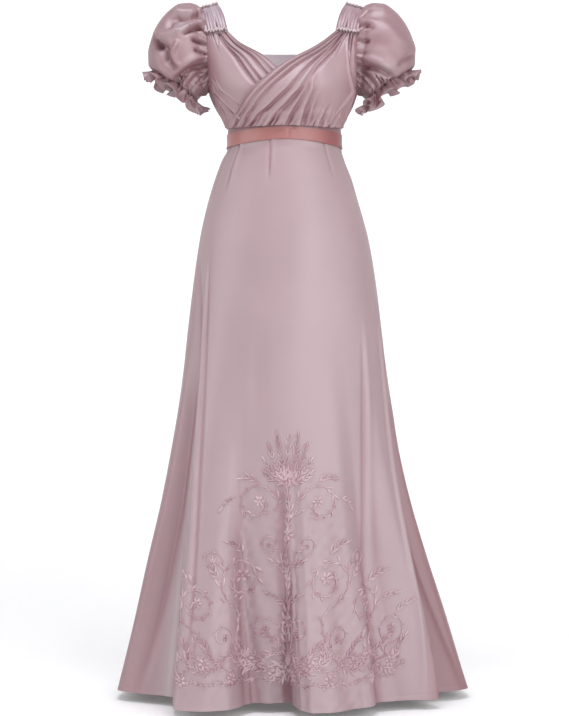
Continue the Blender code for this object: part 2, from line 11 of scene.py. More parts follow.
import bpy
import numpy as np
from bpy.props import FloatProperty, FloatVectorProperty, PointerProperty
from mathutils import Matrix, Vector


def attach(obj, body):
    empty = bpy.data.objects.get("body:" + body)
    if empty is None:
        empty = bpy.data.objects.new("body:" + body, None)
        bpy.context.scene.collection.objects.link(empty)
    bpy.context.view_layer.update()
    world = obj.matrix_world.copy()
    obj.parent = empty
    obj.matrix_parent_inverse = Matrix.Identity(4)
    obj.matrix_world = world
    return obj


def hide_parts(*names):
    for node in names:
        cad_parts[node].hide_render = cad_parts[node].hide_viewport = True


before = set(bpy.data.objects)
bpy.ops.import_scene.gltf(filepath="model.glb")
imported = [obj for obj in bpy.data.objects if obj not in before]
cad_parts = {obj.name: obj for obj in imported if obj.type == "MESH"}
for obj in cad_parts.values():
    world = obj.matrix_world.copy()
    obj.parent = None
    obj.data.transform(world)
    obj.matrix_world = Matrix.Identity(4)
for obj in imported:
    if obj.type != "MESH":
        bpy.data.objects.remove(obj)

bl_info = {
    "name": "Regency gown",
    "version": (1, 0, 0),
    "blender": (4, 5, 0),
    "location": "View3D > Sidebar > Gown",
    "description": "Makes the satin, gathers, pearls, ribbon and embroidery of a high-waisted gown",
    "category": "Object",
}


# ---- tables and curves ----
def table(columns, *values):
    """A short table: one row with these named columns for each tuple of values."""
    row = namedtuple("Row", columns)
    return [row(*each) for each in values]


EDGE = "angle height"
PANEL_FOLD = "name strap middle waist start end width depth"
SLEEVE_RING = "along outer_x outer_z inner_x inner_z half_depth drop"
SLEEVE_CREASE = "name x0 z0 x1 z1 bow width depth"
SLEEVE_PAINTED_SHADE = "name x z width share"
WAVE = "name across down phase height"


# ---- the form, with the same values as the solids ----
SIDE_SEAM = 85.0
SIDE_SEAM_GAP = 0.1
SKIRT_SIDE_SEAM = 96.0
SKIRT_SEAM_GAP = 0.09
SEAM_GAP = 0.0003
WAIST_SEAM = -0.258
SKIRT_SEAM = -0.288
HEM = -1.392
WAIST_CENTRE = 0.0056

BODY = table(
    "height centre half_width front back",
    (-0.310, WAIST_CENTRE, 0.117, 0.107, 0.093),
    (-0.288, WAIST_CENTRE, 0.115, 0.104, 0.090),
    (-0.258, WAIST_CENTRE, 0.115, 0.104, 0.090),
    (-0.240, 0.005, 0.126, 0.119, 0.093),
    (-0.215, 0.004, 0.140, 0.133, 0.096),
    (-0.190, 0.003, 0.150, 0.140, 0.098),
    (-0.160, 0.002, 0.160, 0.136, 0.100),
    (-0.130, 0.001, 0.170, 0.124, 0.099),
    (-0.100, 0.000, 0.180, 0.106, 0.096),
    (-0.070, 0.000, 0.187, 0.088, 0.089),
)
BUST_FULLNESS = 0.007
BUST_HEIGHT = -0.190
BUST_SPREAD = 0.072
BUST_WIDTH = 0.042
BUST_DEPTH = 0.038

OVER_NECKLINE = table(
    EDGE,
    (35.2, -0.0753),
    (20.0, -0.114),
    (2.0, -0.147),
    (-13.5, -0.180),
    (-30.0, -0.212),
    (-44.0, -0.236),
    (-66.0, WAIST_SEAM),
)
UNDER_NECKLINE = table(
    EDGE,
    (35.2, -0.0753),
    (27.5, -0.101),
    (12.5, -0.132),
    (3.0, -0.160),
    (-10.0, -0.190),
    (-30.0, -0.228),
    (-50.0, WAIST_SEAM),
)
ARMHOLE_AND_SIDE = table(
    EDGE,
    (54.0, -0.0774),
    (57.0, -0.105),
    (61.0, -0.130),
    (67.5, -0.160),
    (77.0, -0.180),
    (SIDE_SEAM, -0.192),
    (SIDE_SEAM, -0.225),
    (SIDE_SEAM, WAIST_SEAM),
)
OVER_LIFT = 0.0053
UNDER_LIFT = -0.0018
LIFT_GROWS = 0.35
LIFT_FADES = 0.2
STRAP_JOIN_LIFT = 0.0010
STRAP_JOIN_FADES = 0.25

BACK_NECKLINE = -0.089
BACK_CORNER = 127.0
BACK_ARMHOLE = table(
    EDGE,
    (SIDE_SEAM, -0.192),
    (100.0, -0.184),
    (110.0, -0.165),
    (118.0, -0.135),
    (124.0, -0.098),
    (BACK_CORNER, BACK_NECKLINE),
)

STRAP = table(
    "along inner_x outer_x inner_y outer_y inner_z outer_z",
    (0.00, 0.1070, 0.1505, -0.0762, -0.0570, -0.0735, -0.0755),
    (0.17, 0.1115, 0.1545, -0.0690, -0.0510, -0.0545, -0.0590),
    (0.34, 0.1185, 0.1590, -0.0480, -0.0380, -0.0300, -0.0360),
    (0.50, 0.1295, 0.1635, -0.0010, -0.0010, -0.0065, -0.0155),
    (0.66, 0.1235, 0.1610, 0.0450, 0.0360, -0.0270, -0.0340),
    (0.83, 0.1130, 0.1560, 0.0700, 0.0510, -0.0570, -0.0610),
    (1.00, 0.1060, 0.1510, 0.0800, 0.0580, -0.0885, -0.0885),
)
SHOULDER_LINE = 0.5
STRAP_LENGTH = 0.215
STRAP_JOIN_GAP = 0.005
TRIM_HEIGHT = 0.009
TRIM_CLEAR = 0.0016
TRIM_FROM_END = 0.026

SLEEVE = table(
    SLEEVE_RING,
    (0.0, 0.1670, -0.010, 0.1505, -0.1900, 0.0585, 0.000),
    (0.1, 0.1750, -0.008, 0.1562, -0.1925, 0.0665, 0.000),
    (0.2, 0.1880, -0.004, 0.1585, -0.1945, 0.0745, 0.000),
    (0.3, 0.2060, -0.005, 0.1605, -0.1962, 0.0805, 0.001),
    (0.4, 0.2290, -0.020, 0.1622, -0.1977, 0.0840, 0.001),
    (0.5, 0.2490, -0.043, 0.1638, -0.1991, 0.0850, 0.002),
    (0.6, 0.2640, -0.073, 0.1653, -0.2004, 0.0820, 0.003),
    (0.7, 0.2710, -0.104, 0.1668, -0.2015, 0.0760, 0.004),
    (0.8, 0.2700, -0.127, 0.1682, -0.2024, 0.0680, 0.004),
    (0.9, 0.2620, -0.136, 0.1695, -0.2031, 0.0590, 0.003),
    (1.0, 0.2520, -0.138, 0.1708, -0.2036, 0.0500, 0.001),
)
FRILL = table(
    SLEEVE_RING,
    (0.0, 0.2528, -0.1390, 0.1716, -0.2046, 0.0500, 0.001),
    (0.5, 0.2675, -0.1460, 0.1700, -0.2140, 0.0560, 0.002),
    (1.0, 0.2810, -0.1495, 0.1660, -0.2220, 0.0620, 0.003),
)
ARMHOLE_CENTRE = -0.105
ARMHOLE_LAP = 0.0050
ARMHOLE_SHRINK = 0.975

RIBBON_CLEAR = 0.0008
RIBBON_TOP = -0.2680
RIBBON_FOOT = -0.2990
RIBBON_ARCH = 0.0070
RIBBON_ARCH_WIDTH = 62.0
RIBBON_TOP_ARCH = 0.0045

SKIRT = table(
    "height right left front back",
    (SKIRT_SEAM - SEAM_GAP, 0.1148, 0.1148, 0.1040, 0.0900),
    (-0.301, 0.1154, 0.1154, 0.1045, 0.0905),
    (-0.322, 0.1260, 0.1210, 0.1095, 0.0970),
    (-0.362, 0.1410, 0.1370, 0.1180, 0.1100),
    (-0.402, 0.1530, 0.1490, 0.1260, 0.1230),
    (-0.443, 0.1630, 0.1610, 0.1330, 0.1350),
    (-0.483, 0.1712, 0.1712, 0.1390, 0.1450),
    (-0.565, 0.1840, 0.1840, 0.1480, 0.1600),
    (-0.666, 0.1975, 0.1950, 0.1560, 0.1720),
    (-0.768, 0.2095, 0.2065, 0.1630, 0.1830),
    (-0.889, 0.2275, 0.2250, 0.1710, 0.1970),
    (-1.011, 0.2480, 0.2525, 0.1790, 0.2140),
    (-1.133, 0.2750, 0.2880, 0.1870, 0.2330),
    (-1.255, 0.3025, 0.3280, 0.1945, 0.2550),
    (HEM, 0.3380, 0.3730, 0.2020, 0.2820),
)
SKIRT_FOLDS = table(
    "name top_angle hem_angle before after flat start depth",
    ("right side valley", -74.0, -69.0, 18.0, 16.0, 0.10, -0.42, -0.060),
    ("right front lobe", -54.0, -43.5, 11.5, 24.0, 0.10, -0.52, 0.046),
    ("centre valley", -16.0, -9.5, 18.5, 17.5, 0.75, -0.88, -0.060),
    ("left front lobe", 12.0, 14.0, 7.0, 27.0, 0.20, -0.88, 0.034),
    ("left front hollow", 46.0, 58.0, 18.0, 15.0, 0.20, -0.66, -0.044),
    ("left side valley", 86.0, 78.5, 9.0, 11.0, 0.00, -0.74, -0.066),
    ("left back lobe", 118.0, 116.0, 15.0, 15.0, 0.20, -0.50, 0.022),
    ("left back valley", 140.0, 139.0, 14.0, 14.0, 0.10, -0.46, -0.040),
    ("left train fold", 160.0, 161.0, 12.0, 12.0, 0.10, -0.42, 0.030),
    ("centre back valley", 180.0, 180.0, 13.0, 13.0, 0.10, -0.42, -0.038),
    ("right train fold", -160.0, -161.0, 12.0, 12.0, 0.10, -0.42, 0.030),
    ("right back valley", -140.0, -139.0, 14.0, 14.0, 0.10, -0.46, -0.040),
    ("right back lobe", -118.0, -116.0, 15.0, 15.0, 0.20, -0.50, 0.022),
)
FOLD_GROWTH = 1.25

# ---- creases: soft troughs (depth below 0) and ridges ----
# On the skirt a crease runs from top_angle at top to foot_angle at foot, bowed sideways by bow degrees.
SKIRT_CREASES = table(
    "name top_angle top foot_angle foot bow width depth",
    ("right tuck", -54.2, -0.285, -57.0, -0.400, 0.0, 0.0035, -0.0036),
    ("right tuck lip", -51.0, -0.285, -53.0, -0.400, 0.0, 0.0060, 0.0022),
    ("right side tuck", -72.0, -0.285, -76.0, -0.430, 0.0, 0.0050, -0.0026),
    ("centre tuck", -15.6, -0.285, -14.6, -0.385, 0.0, 0.0026, -0.0030),
    ("centre tuck lip", -13.4, -0.285, -12.2, -0.375, 0.0, 0.0042, 0.0016),
    ("left tuck", 47.0, -0.285, 50.0, -0.380, 0.0, 0.0045, -0.0018),
    ("left side tuck", 74.0, -0.285, 79.0, -0.420, 0.0, 0.0050, -0.0026),
    ("right front ridge", -67.0, -0.480, -45.5, -1.500, 7.0, 0.0062, 0.0058),
    ("inside the ridge", -64.5, -0.480, -42.6, -1.500, 7.0, 0.0048, -0.0024),
    ("beside the ridge", -80.0, -0.480, -59.0, -1.500, 7.0, 0.0150, -0.0075),
    ("belly hollow", -18.4, -0.600, -17.4, -0.900, 0.0, 0.0180, -0.0024),
    ("left front crease", 57.5, -0.640, 46.5, -1.250, 0.5, 0.0050, -0.0026),
    ("left front ridge", 61.0, -0.600, 50.5, -1.300, 0.5, 0.0080, 0.0026),
    ("lobe hollow", -28.5, -1.020, -24.0, -1.500, 0.0, 0.0140, -0.0060),
    ("lobe roll", -35.5, -0.960, -34.5, -1.500, 0.0, 0.0160, 0.0040),
    ("valley roll", -14.0, -1.180, -10.5, -1.500, 0.0, 0.0140, 0.0040),
    ("valley edge", 3.6, -1.080, 3.2, -1.500, 0.0, 0.0090, -0.0050),
    ("left lobe ridge", 8.4, -1.080, 8.8, -1.500, 0.0, 0.0080, 0.0042),
    ("left lobe hollow", 27.0, -1.000, 30.0, -1.500, 0.0, 0.0200, -0.0050),
    ("left hollow roll", 42.0, -1.050, 47.5, -1.500, 0.0, 0.0150, 0.0045),
    ("right sweep crease", -73.5, -0.700, -80.0, -1.500, 0.0, 0.0120, -0.0070),
    ("right sweep roll", -80.5, -0.620, -86.0, -1.500, 0.0, 0.0150, 0.0060),
    ("right sweep back", -93.0, -0.750, -96.5, -1.500, 0.0, 0.0130, -0.0060),
    ("left side edge", 78.0, -0.560, 66.0, -1.560, -1.5, 0.0070, 0.0055),
    ("beside the edge", 83.0, -0.560, 70.5, -1.560, -1.5, 0.0095, -0.0130),
    ("left sweep crease", 86.0, -0.800, 88.0, -1.500, 0.0, 0.0130, -0.0080),
    ("left sweep roll", 91.0, -0.700, 95.5, -1.500, 0.0, 0.0140, 0.0060),
    ("left sweep back", 99.0, -0.600, 104.0, -1.500, 0.0, 0.0130, -0.0060),
    ("left back drape", 109.0, -0.420, 112.0, -1.300, 0.0, 0.0120, -0.0040),
    ("left back roll", 126.0, -0.380, 129.0, -1.500, 0.0, 0.0150, 0.0050),
    ("left back crease", 147.0, -0.330, 150.0, -1.250, 0.0, 0.0110, -0.0050),
    ("left train crease", 169.0, -0.340, 170.0, -1.500, 0.0, 0.0120, -0.0060),
    ("train roll", 186.0, -0.360, 184.5, -1.500, 0.0, 0.0120, 0.0050),
    ("right train crease", 196.0, -0.330, 193.0, -1.350, 0.0, 0.0110, -0.0050),
    ("right back roll", 217.0, -0.350, 214.0, -1.500, 0.0, 0.0150, 0.0050),
    ("right back crease", 229.0, -0.390, 226.0, -1.200, 0.0, 0.0110, -0.0050),
    ("right back drape", 249.0, -0.460, 246.0, -1.500, 0.0, 0.0130, -0.0050),
)
BACK_GATHERS = 15  # short gathers under the ribbon across the back
BACK_GATHER_DEPTH = 0.0022
BACK_GATHER_LENGTH = 0.120
BACK_GATHER_SWAY = 0.25
HEM_WIDTH = 0.010
HEM_GROOVE = 0.0003
HEM_GROOVE_WIDTH = 0.0014
DRAPE_FADE = 0.2
BACK_GATHERS_FROM = 0.2  # cosine of the turn from centre front
BACK_GATHERS_FADE = 0.5

# Pulls in the cloth between the stitches: waves across (per metre round) and down (per metre).
PULLS = table(
    WAVE,
    ("long", 26.0, 12.0, 0.4, 0.0005),
    ("slanted", 34.0, -31.0, 1.9, 0.0003),
    ("level", 14.0, 43.0, 3.1, 0.0003),
)
DRAPE = table(
    WAVE,
    ("left to right", 2.5, 0.9, 0.8, 0.0010),
    ("slow", 1.6, 1.7, 2.6, 0.0012),
)

# Where the embroidery pulls on the cloth: how far it reaches to each side, by height.
EMBROIDERY_CENTRE = 1.9  # degrees
EMBROIDERY_TOP = -0.80
EMBROIDERY_REACH = table(
    "height reach",
    (-0.840, 0.000),
    (-0.900, 0.050),
    (-0.997, 0.125),
    (-1.100, 0.190),
    (-1.200, 0.290),
    (-1.350, 0.320),
    (-1.380, 0.200),
)
PULL_FADE = 0.06

# On a crossed front a fold runs from strap to waist through middle (shares across at the strap, halfway
# and at the waist seam), between the shares down start and end. Its soft side lies towards the armhole,
# or with a width below 0 towards the neckline.
OVER_FOLDS = table(
    PANEL_FOLD,
    ("edge roll", 0.036, 0.016, 0.020, -0.30, 1.30, 0.012, -0.0012),
    ("first pleat", 0.105, 0.069, 0.082, -0.20, 1.25, 0.020, -0.0030),
    ("second pleat", 0.235, 0.142, 0.154, -0.20, 1.25, 0.022, -0.0036),
    ("third pleat", 0.285, 0.285, 0.215, -0.20, 1.25, 0.024, -0.0040),
    ("long fold", 0.335, 0.374, 0.345, -0.15, 1.25, 0.030, -0.0046),
    ("cup fold", 0.440, 0.412, 0.454, -0.05, 1.25, 0.022, -0.0032),
    ("under cup fold", 0.420, 0.452, 0.543, 0.36, 1.30, 0.026, -0.0042),
    ("short gather", 0.480, 0.500, 0.600, 0.66, 1.30, 0.020, -0.0036),
    ("strap pinch", 0.520, 0.520, 0.500, -0.20, 0.30, 0.024, -0.0026),
    ("low gather", 0.640, 0.650, 0.655, 0.74, 1.30, 0.016, -0.0036),
    ("outer fold", 0.610, 0.850, 0.715, -0.20, 1.30, 0.024, -0.0036),
    ("side fold", 0.745, 0.860, 0.790, -0.15, 1.30, 0.022, -0.0054),
    ("side pleat", 0.870, 0.925, 0.860, 0.06, 1.30, 0.016, -0.0036),
    ("armhole pleat", 0.940, 0.965, 0.930, 0.16, 1.30, 0.014, -0.0030),
)
UNDER_FOLDS = table(
    PANEL_FOLD,
    ("edge roll", 0.036, 0.020, 0.020, -0.30, 1.30, 0.014, -0.0012),
    ("first pleat", 0.070, 0.090, 0.080, -0.20, 1.20, 0.016, -0.0022),
    ("second pleat", 0.125, 0.178, 0.160, -0.20, 1.20, 0.022, -0.0034),
    ("third pleat", 0.325, 0.296, 0.270, -0.20, 1.20, 0.026, -0.0044),
    ("long fold", 0.392, 0.384, 0.320, -0.15, 0.75, 0.034, -0.0056),
    ("strap pinch", 0.395, 0.970, 1.000, -0.25, 0.20, 0.022, -0.0040),
    ("outer pinch", 0.640, 0.660, 0.600, -0.20, 0.26, 0.026, -0.0022),
    ("upper pull", 1.230, 0.865, 0.505, 0.40, 0.96, 0.016, -0.0034),
    ("slanted pull", 1.150, 0.945, 0.665, 0.44, 1.30, 0.018, -0.0044),
    ("low pull", 1.000, 0.930, 0.790, 0.50, 1.30, 0.016, -0.0044),
    ("side fold", 0.900, 0.895, 0.875, 0.60, 1.30, 0.014, -0.0036),
    ("side pleat", 0.850, 0.845, 0.938, 0.66, 1.30, 0.014, -0.0040),
)
BACK_FOLDS = table(
    PANEL_FOLD,
    ("left pull", 0.130, 0.165, 0.200, 0.20, 1.20, 0.016, -0.0016),
    ("left gather", 0.300, 0.310, 0.320, 0.60, 1.30, 0.012, -0.0018),
    ("left centre gather", 0.420, 0.422, 0.425, 0.66, 1.30, 0.010, -0.0016),
    ("right centre gather", 0.590, 0.585, 0.580, 0.62, 1.30, -0.010, -0.0017),
    ("right gather", 0.710, 0.700, 0.690, 0.56, 1.30, -0.012, -0.0019),
    ("right pull", 0.880, 0.840, 0.800, 0.16, 1.20, -0.016, -0.0016),
)
BACK_SEAM_DEPTH = 0.0010
WAIST_PUCKERS = 19
WAIST_PUCKER_DEPTH = 0.0024

STRAP_FOLDS = table(
    PANEL_FOLD,
    ("neck edge", 0.060, 0.055, 0.050, -0.30, 1.30, 0.036, -0.0010),
    ("first ruche", 0.190, 0.170, 0.150, -0.20, 1.10, 0.034, -0.0012),
    ("second ruche", 0.300, 0.325, 0.350, -0.20, 0.80, 0.040, -0.0012),
    ("notch", 0.420, 0.440, 0.460, 0.05, 0.62, 0.030, -0.0030),
    ("third ruche", 0.500, 0.530, 0.560, 0.30, 1.30, 0.036, -0.0012),
    ("fourth ruche", 0.650, 0.645, 0.640, -0.20, 1.20, -0.036, -0.0014),
    ("fifth ruche", 0.760, 0.780, 0.800, -0.20, 0.90, -0.032, -0.0014),
    ("arm edge", 0.920, 0.925, 0.930, -0.30, 1.30, -0.036, -0.0012),
)
BACK_STRAP_FOLDS = table(
    PANEL_FOLD,
    ("neck ruche", 0.240, 0.220, 0.200, -0.20, 0.60, 0.040, -0.0014),
    ("middle ruche", 0.520, 0.500, 0.480, -0.20, 0.50, 0.040, -0.0014),
    ("arm ruche", 0.800, 0.810, 0.820, -0.20, 0.70, -0.040, -0.0014),
)

# On a sleeve a crease is drawn on the gown's front (or back) view, from x0, z0 to x1, z1 for the
# wearer's left arm, bowed sideways by bow.
LEFT_PUFF = table(
    SLEEVE_CREASE,
    ("shoulder pinch", 0.151, -0.058, 0.180, -0.066, 0.000, 0.0042, -0.0057),
    ("shoulder roll", 0.153, -0.048, 0.182, -0.054, 0.000, 0.0055, 0.0041),
    ("armhole pinch", 0.150, -0.090, 0.168, -0.094, 0.000, 0.0035, -0.0041),
    ("crown dent", 0.186, -0.040, 0.226, -0.052, 0.004, 0.0120, -0.0034),
    ("outer swell", 0.214, -0.070, 0.262, -0.098, -0.006, 0.0160, 0.0034),
    ("middle hollow", 0.176, -0.100, 0.232, -0.118, 0.006, 0.0160, -0.0039),
    ("lower roll", 0.156, -0.128, 0.212, -0.150, 0.003, 0.0085, 0.0051),
    ("under edge", 0.148, -0.142, 0.222, -0.168, 0.004, 0.0075, -0.0126),
    ("outer edge pinch", 0.236, -0.142, 0.268, -0.112, 0.000, 0.0060, -0.0057),
)
RIGHT_PUFF = table(
    SLEEVE_CREASE,
    ("crown roll", 0.162, -0.026, 0.216, -0.030, -0.004, 0.0070, 0.0071),
    ("crown crease", 0.162, -0.037, 0.210, -0.044, -0.004, 0.0050, -0.0088),
    ("crown dent", 0.200, -0.044, 0.224, -0.066, 0.008, 0.0110, -0.0088),
    ("middle roll", 0.188, -0.078, 0.254, -0.082, 0.004, 0.0090, 0.0088),
    ("outer pinch", 0.250, -0.102, 0.263, -0.074, 0.000, 0.0055, -0.0177),
    ("outer sweep", 0.230, -0.134, 0.256, -0.090, 0.007, 0.0110, -0.0118),
    ("inner hollow", 0.210, -0.150, 0.232, -0.108, -0.006, 0.0100, -0.0074),
    ("curved roll", 0.206, -0.144, 0.207, -0.102, -0.010, 0.0060, 0.0088),
    ("shoulder pinch", 0.158, -0.064, 0.194, -0.082, 0.002, 0.0046, -0.0118),
    ("shoulder roll", 0.158, -0.053, 0.190, -0.068, 0.002, 0.0060, 0.0074),
    ("armhole pinch", 0.152, -0.097, 0.174, -0.092, 0.000, 0.0038, -0.0083),
    ("low pinch", 0.152, -0.119, 0.170, -0.112, 0.000, 0.0036, -0.0074),
    ("lower roll", 0.160, -0.122, 0.206, -0.160, 0.003, 0.0090, 0.0074),
    ("under edge", 0.148, -0.138, 0.212, -0.174, 0.004, 0.0075, -0.0162),
)
BACK_PUFF = table(
    SLEEVE_CREASE,
    ("shoulder pinch", 0.154, -0.050, 0.186, -0.062, 0.002, 0.0046, -0.0056),
    ("shoulder roll", 0.156, -0.040, 0.190, -0.048, 0.002, 0.0060, 0.0040),
    ("armhole pinch", 0.152, -0.086, 0.176, -0.090, 0.000, 0.0040, -0.0044),
    ("middle roll", 0.186, -0.086, 0.246, -0.092, 0.005, 0.0110, 0.0044),
    ("outer pinch", 0.236, -0.116, 0.256, -0.086, 0.002, 0.0070, -0.0070),
    ("inner hollow", 0.196, -0.132, 0.224, -0.104, -0.004, 0.0120, -0.0050),
    ("under edge", 0.152, -0.146, 0.218, -0.172, 0.004, 0.0080, -0.0090),
)
PUFFS = {"left": LEFT_PUFF, "right": RIGHT_PUFF}
ARMHOLE_GATHERS = 23
ARMHOLE_GATHER_DEPTH = 0.0022
ARMHOLE_SWAY = 0.4
ELASTIC_GATHERS = 31
ELASTIC_GATHER_DEPTH = 0.0026
ELASTIC_SWAY = 0.3
UNDERARM_RUCHES = 105.0  # waves per metre across, below the puff's under edge
UNDERARM_RUCHE_DEPTH = 0.0030
UNDERARM_SWAY = 0.35
FRILL_WAVES = 11

# ---- how creases fade and are shaped ----
CREASE_FADE_IN = 0.16  # metres down from its top
CREASE_FADE_OUT = 0.40  # share of its length before its foot
ANGLE_STEP = 0.25
HEIGHT_STEP = 0.0015
FOLD_NARROWS = 0.9
CRISP_SHARE = 0.58
FOLD_SWAY = 0.004
FOLD_UNEVEN = 0.22
RIDGE_OFF = 1.05
RIDGE_WIDTH = 0.55
RIDGE_SHARE = 0.55
FOLD_FADE = 0.22
CREASE_INSET = 0.12
SOFT_END = 1.6  # in widths
PINCH = 0.8  # the smaller, the narrower the troughs between gathers
FACING_FADE = 0.03

# ---- curves and forms ----
BODY_GIRTH_RADIUS = np.mean([row.half_width for row in BODY])
EDGE_SAMPLES = 60
HEM_SAMPLES = 1500


def smooth_through(knots, values, at):
    """Cubic pieces through values at rising knots, with slopes that never overshoot a knot's value."""
    knots = np.asarray(knots, float)
    values = np.asarray(values, float)
    chords = np.diff(values) / np.diff(knots)
    before, after = chords[:-1], chords[1:]
    same_way = before * after > 0
    middle = np.where(same_way, 2 * before * after / np.where(same_way, before + after, 1.0), 0.0)
    slopes = np.concatenate(([chords[0]], middle, [chords[-1]]))
    at = np.clip(at, knots[0], knots[-1])
    i = np.clip(np.searchsorted(knots, at) - 1, 0, len(knots) - 2)
    gap = knots[i + 1] - knots[i]
    t = (at - knots[i]) / gap
    start = (1 + 2 * t) * (1 - t) ** 2 * values[i] + t * (1 - t) ** 2 * gap * slopes[i]
    end = t * t * (3 - 2 * t) * values[i + 1] + t * t * (t - 1) * gap * slopes[i + 1]
    return start + end


def column(rows, key, name, at):
    """One named column of a table, smoothly read at the given values of its key column."""
    rows = sorted(rows, key=lambda row: getattr(row, key))
    knots = [getattr(row, key) for row in rows]
    return smooth_through(knots, [getattr(row, name) for row in rows], at)


def read_at(rows, key, at):
    """A whole row of a table, smoothly read at the given values of its key column."""
    kind = type(rows[0])
    return kind(*(at if name == key else column(rows, key, name, at) for name in kind._fields))


def ease(t):
    """0 up to t = 0, 1 from t = 1, and an S-shaped rise between."""
    t = np.clip(t, 0.0, 1.0)
    return t * t * (3 - 2 * t)


def ease_from(t, start):
    """0 up to t = start, 1 from t = 1, and an S-shaped rise between."""
    return ease((t - start) / (1 - start))


def bump(t, flat):
    """1 within flat of the middle, falling to 0 at t = 1 on each side."""
    return 1.0 - ease_from(np.abs(t), flat)


def bell(t):
    """exp(-t^2): 1 at t = 0, soft on both sides."""
    return np.exp(-t * t)


def signed_turn(angle):
    """The same turn as an angle in degrees from -180 to 180."""
    return (angle + 180.0) % 360.0 - 180.0


def totals(steps, axis=0):
    """Running totals of steps along an axis, from 0."""
    total = np.cumsum(steps, axis=axis)
    return np.concatenate([0 * np.take(total, [0], axis=axis), total], axis=axis)


def gaps(grid, axis):
    """Lengths between the neighbours of a grid of points along an axis."""
    return np.linalg.norm(np.diff(grid, axis=axis), axis=-1)


def unit(vectors):
    """The vectors, each made 1 long."""
    return vectors / np.linalg.norm(vectors, axis=-1, keepdims=True)


def slopes(surface, first, second, first_step, second_step):
    """How far a surface of two measures moves over a small step of each to both sides."""
    along_first = surface(first + first_step, second) - surface(first - first_step, second)
    along_second = surface(first, second + second_step) - surface(first, second - second_step)
    return along_first, along_second


def edge_curve(points, down):
    """A panel's edge as (angle, height) at shares of its length, measured on the body."""
    angle, height = np.array(points).T
    run = totals(np.hypot(np.diff(np.radians(angle) * BODY_GIRTH_RADIUS), np.diff(height)))
    run /= run[-1]
    return smooth_through(run, angle, down), smooth_through(run, height, down)


def on_body(angle, height, lift):
    """Points on the body form: an ellipse at each height, let out by lift, fuller over the bust."""
    turn = np.radians(angle)
    body = read_at(BODY, "height", height)
    x = (body.half_width + lift) * np.sin(turn)
    y = -(np.where(np.cos(turn) > 0, body.front, body.back) + lift) * np.cos(turn)
    across = bell((np.abs(x) - BUST_SPREAD) / BUST_WIDTH)
    upright = bell((height - BUST_HEIGHT) / BUST_DEPTH)
    y = y - BUST_FULLNESS * across * upright * (np.cos(turn) > 0)
    return np.stack([x + body.centre, y, height + 0 * x], axis=-1)


def panel_edges(neckline, across, down):
    """(angle, height) in a front panel: its four edges blended as in a Coons patch."""
    ends = np.array([0.0, 1.0])
    inner, outer = edge_curve(neckline, down), edge_curve(ARMHOLE_AND_SIDE, down)
    first, last = edge_curve(neckline, ends), edge_curve(ARMHOLE_AND_SIDE, ends)
    blended = []
    for k in (0, 1):
        top = first[k][0] + across * (last[k][0] - first[k][0])
        foot = first[k][1] + across * (last[k][1] - first[k][1])
        sides = (1 - across) * inner[k] + across * outer[k]
        corners = (1 - down) * ((1 - across) * first[k][0] + across * last[k][0])
        corners += down * ((1 - across) * first[k][1] + across * last[k][1])
        blended.append(sides + (1 - down) * top + down * foot - corners)
    return blended[0], blended[1] + SEAM_GAP


def front_lift(across, down, lift):
    """How far a front panel's plain form stands off the body: its lift and its join to the strap."""
    lifted = lift * ease(down / LIFT_GROWS) * ease((1 - across) / LIFT_FADES)
    return lifted + STRAP_JOIN_LIFT * (1 - ease(down / STRAP_JOIN_FADES))


def strap_points(along, across):
    """The strap's band over the shoulder; across runs from the neck side to the arm side."""
    row = read_at(STRAP, "along", along)
    inner = np.stack([row.inner_x, row.inner_y, row.inner_z], axis=-1)
    outer = np.stack([row.outer_x, row.outer_y, row.outer_z], axis=-1)
    return inner + across[..., None] * (outer - inner)


def armhole_seam(turn, side):
    """Where the sleeve is sewn on, as for the left arm: strap, back and front edges, read at these turns."""
    hand = -1.0 if side == "right" else 1.0
    as_left = np.array([hand, 1.0, 1.0])
    share = np.linspace(0, 1, EDGE_SAMPLES)
    front_angle, front_height = edge_curve(ARMHOLE_AND_SIDE, share)
    on_armhole = front_angle < SIDE_SEAM - SIDE_SEAM_GAP
    rise = front_lift(1.0, share[on_armhole], 0.0)
    front = on_body(hand * front_angle[on_armhole], front_height[on_armhole] + SEAM_GAP, rise) * as_left
    back_angle = np.linspace(SIDE_SEAM, BACK_CORNER, EDGE_SAMPLES)
    back_height = column(BACK_ARMHOLE, "angle", "height", back_angle)
    back = on_body(hand * back_angle, back_height, 0.0) * as_left
    ring = np.concatenate([front, back, strap_points(share, np.ones(EDGE_SAMPLES))])
    bearing = np.arctan2(-ring[:, 1], ring[:, 2] - ARMHOLE_CENTRE) % (2 * np.pi)
    order = np.argsort(bearing)
    axes = [np.interp(turn, bearing[order], ring[order, k], period=2 * np.pi) for k in range(3)]
    return np.stack(axes, axis=-1)


def sleeve_form(rings, turn, along):
    """Nested ellipses, each between its outer and inner ends, read smoothly between the rings."""
    ring = read_at(rings, "along", along)
    middle_x = (ring.outer_x + ring.inner_x) / 2
    middle_z = (ring.outer_z + ring.inner_z) / 2
    x = middle_x + np.cos(turn) * (ring.outer_x - middle_x)
    y = -ring.half_depth * np.sin(turn)
    z = middle_z + np.cos(turn) * (ring.outer_z - middle_z) - ring.drop * np.sin(turn)
    return np.stack([x, y, z], axis=-1)


def fold_part(fold, angle, height):
    """How far down a skirt fold a height is (0 to 1), and how near its middle line an angle lies (1 to 0)."""
    fallen = np.clip((fold.start - height) / (fold.start - HEM), 0.0, 1.0)
    off = signed_turn(angle - (fold.top_angle + (fold.hem_angle - fold.top_angle) * fallen))
    return fallen, bump(off / np.where(off < 0, fold.before, fold.after), fold.flat)


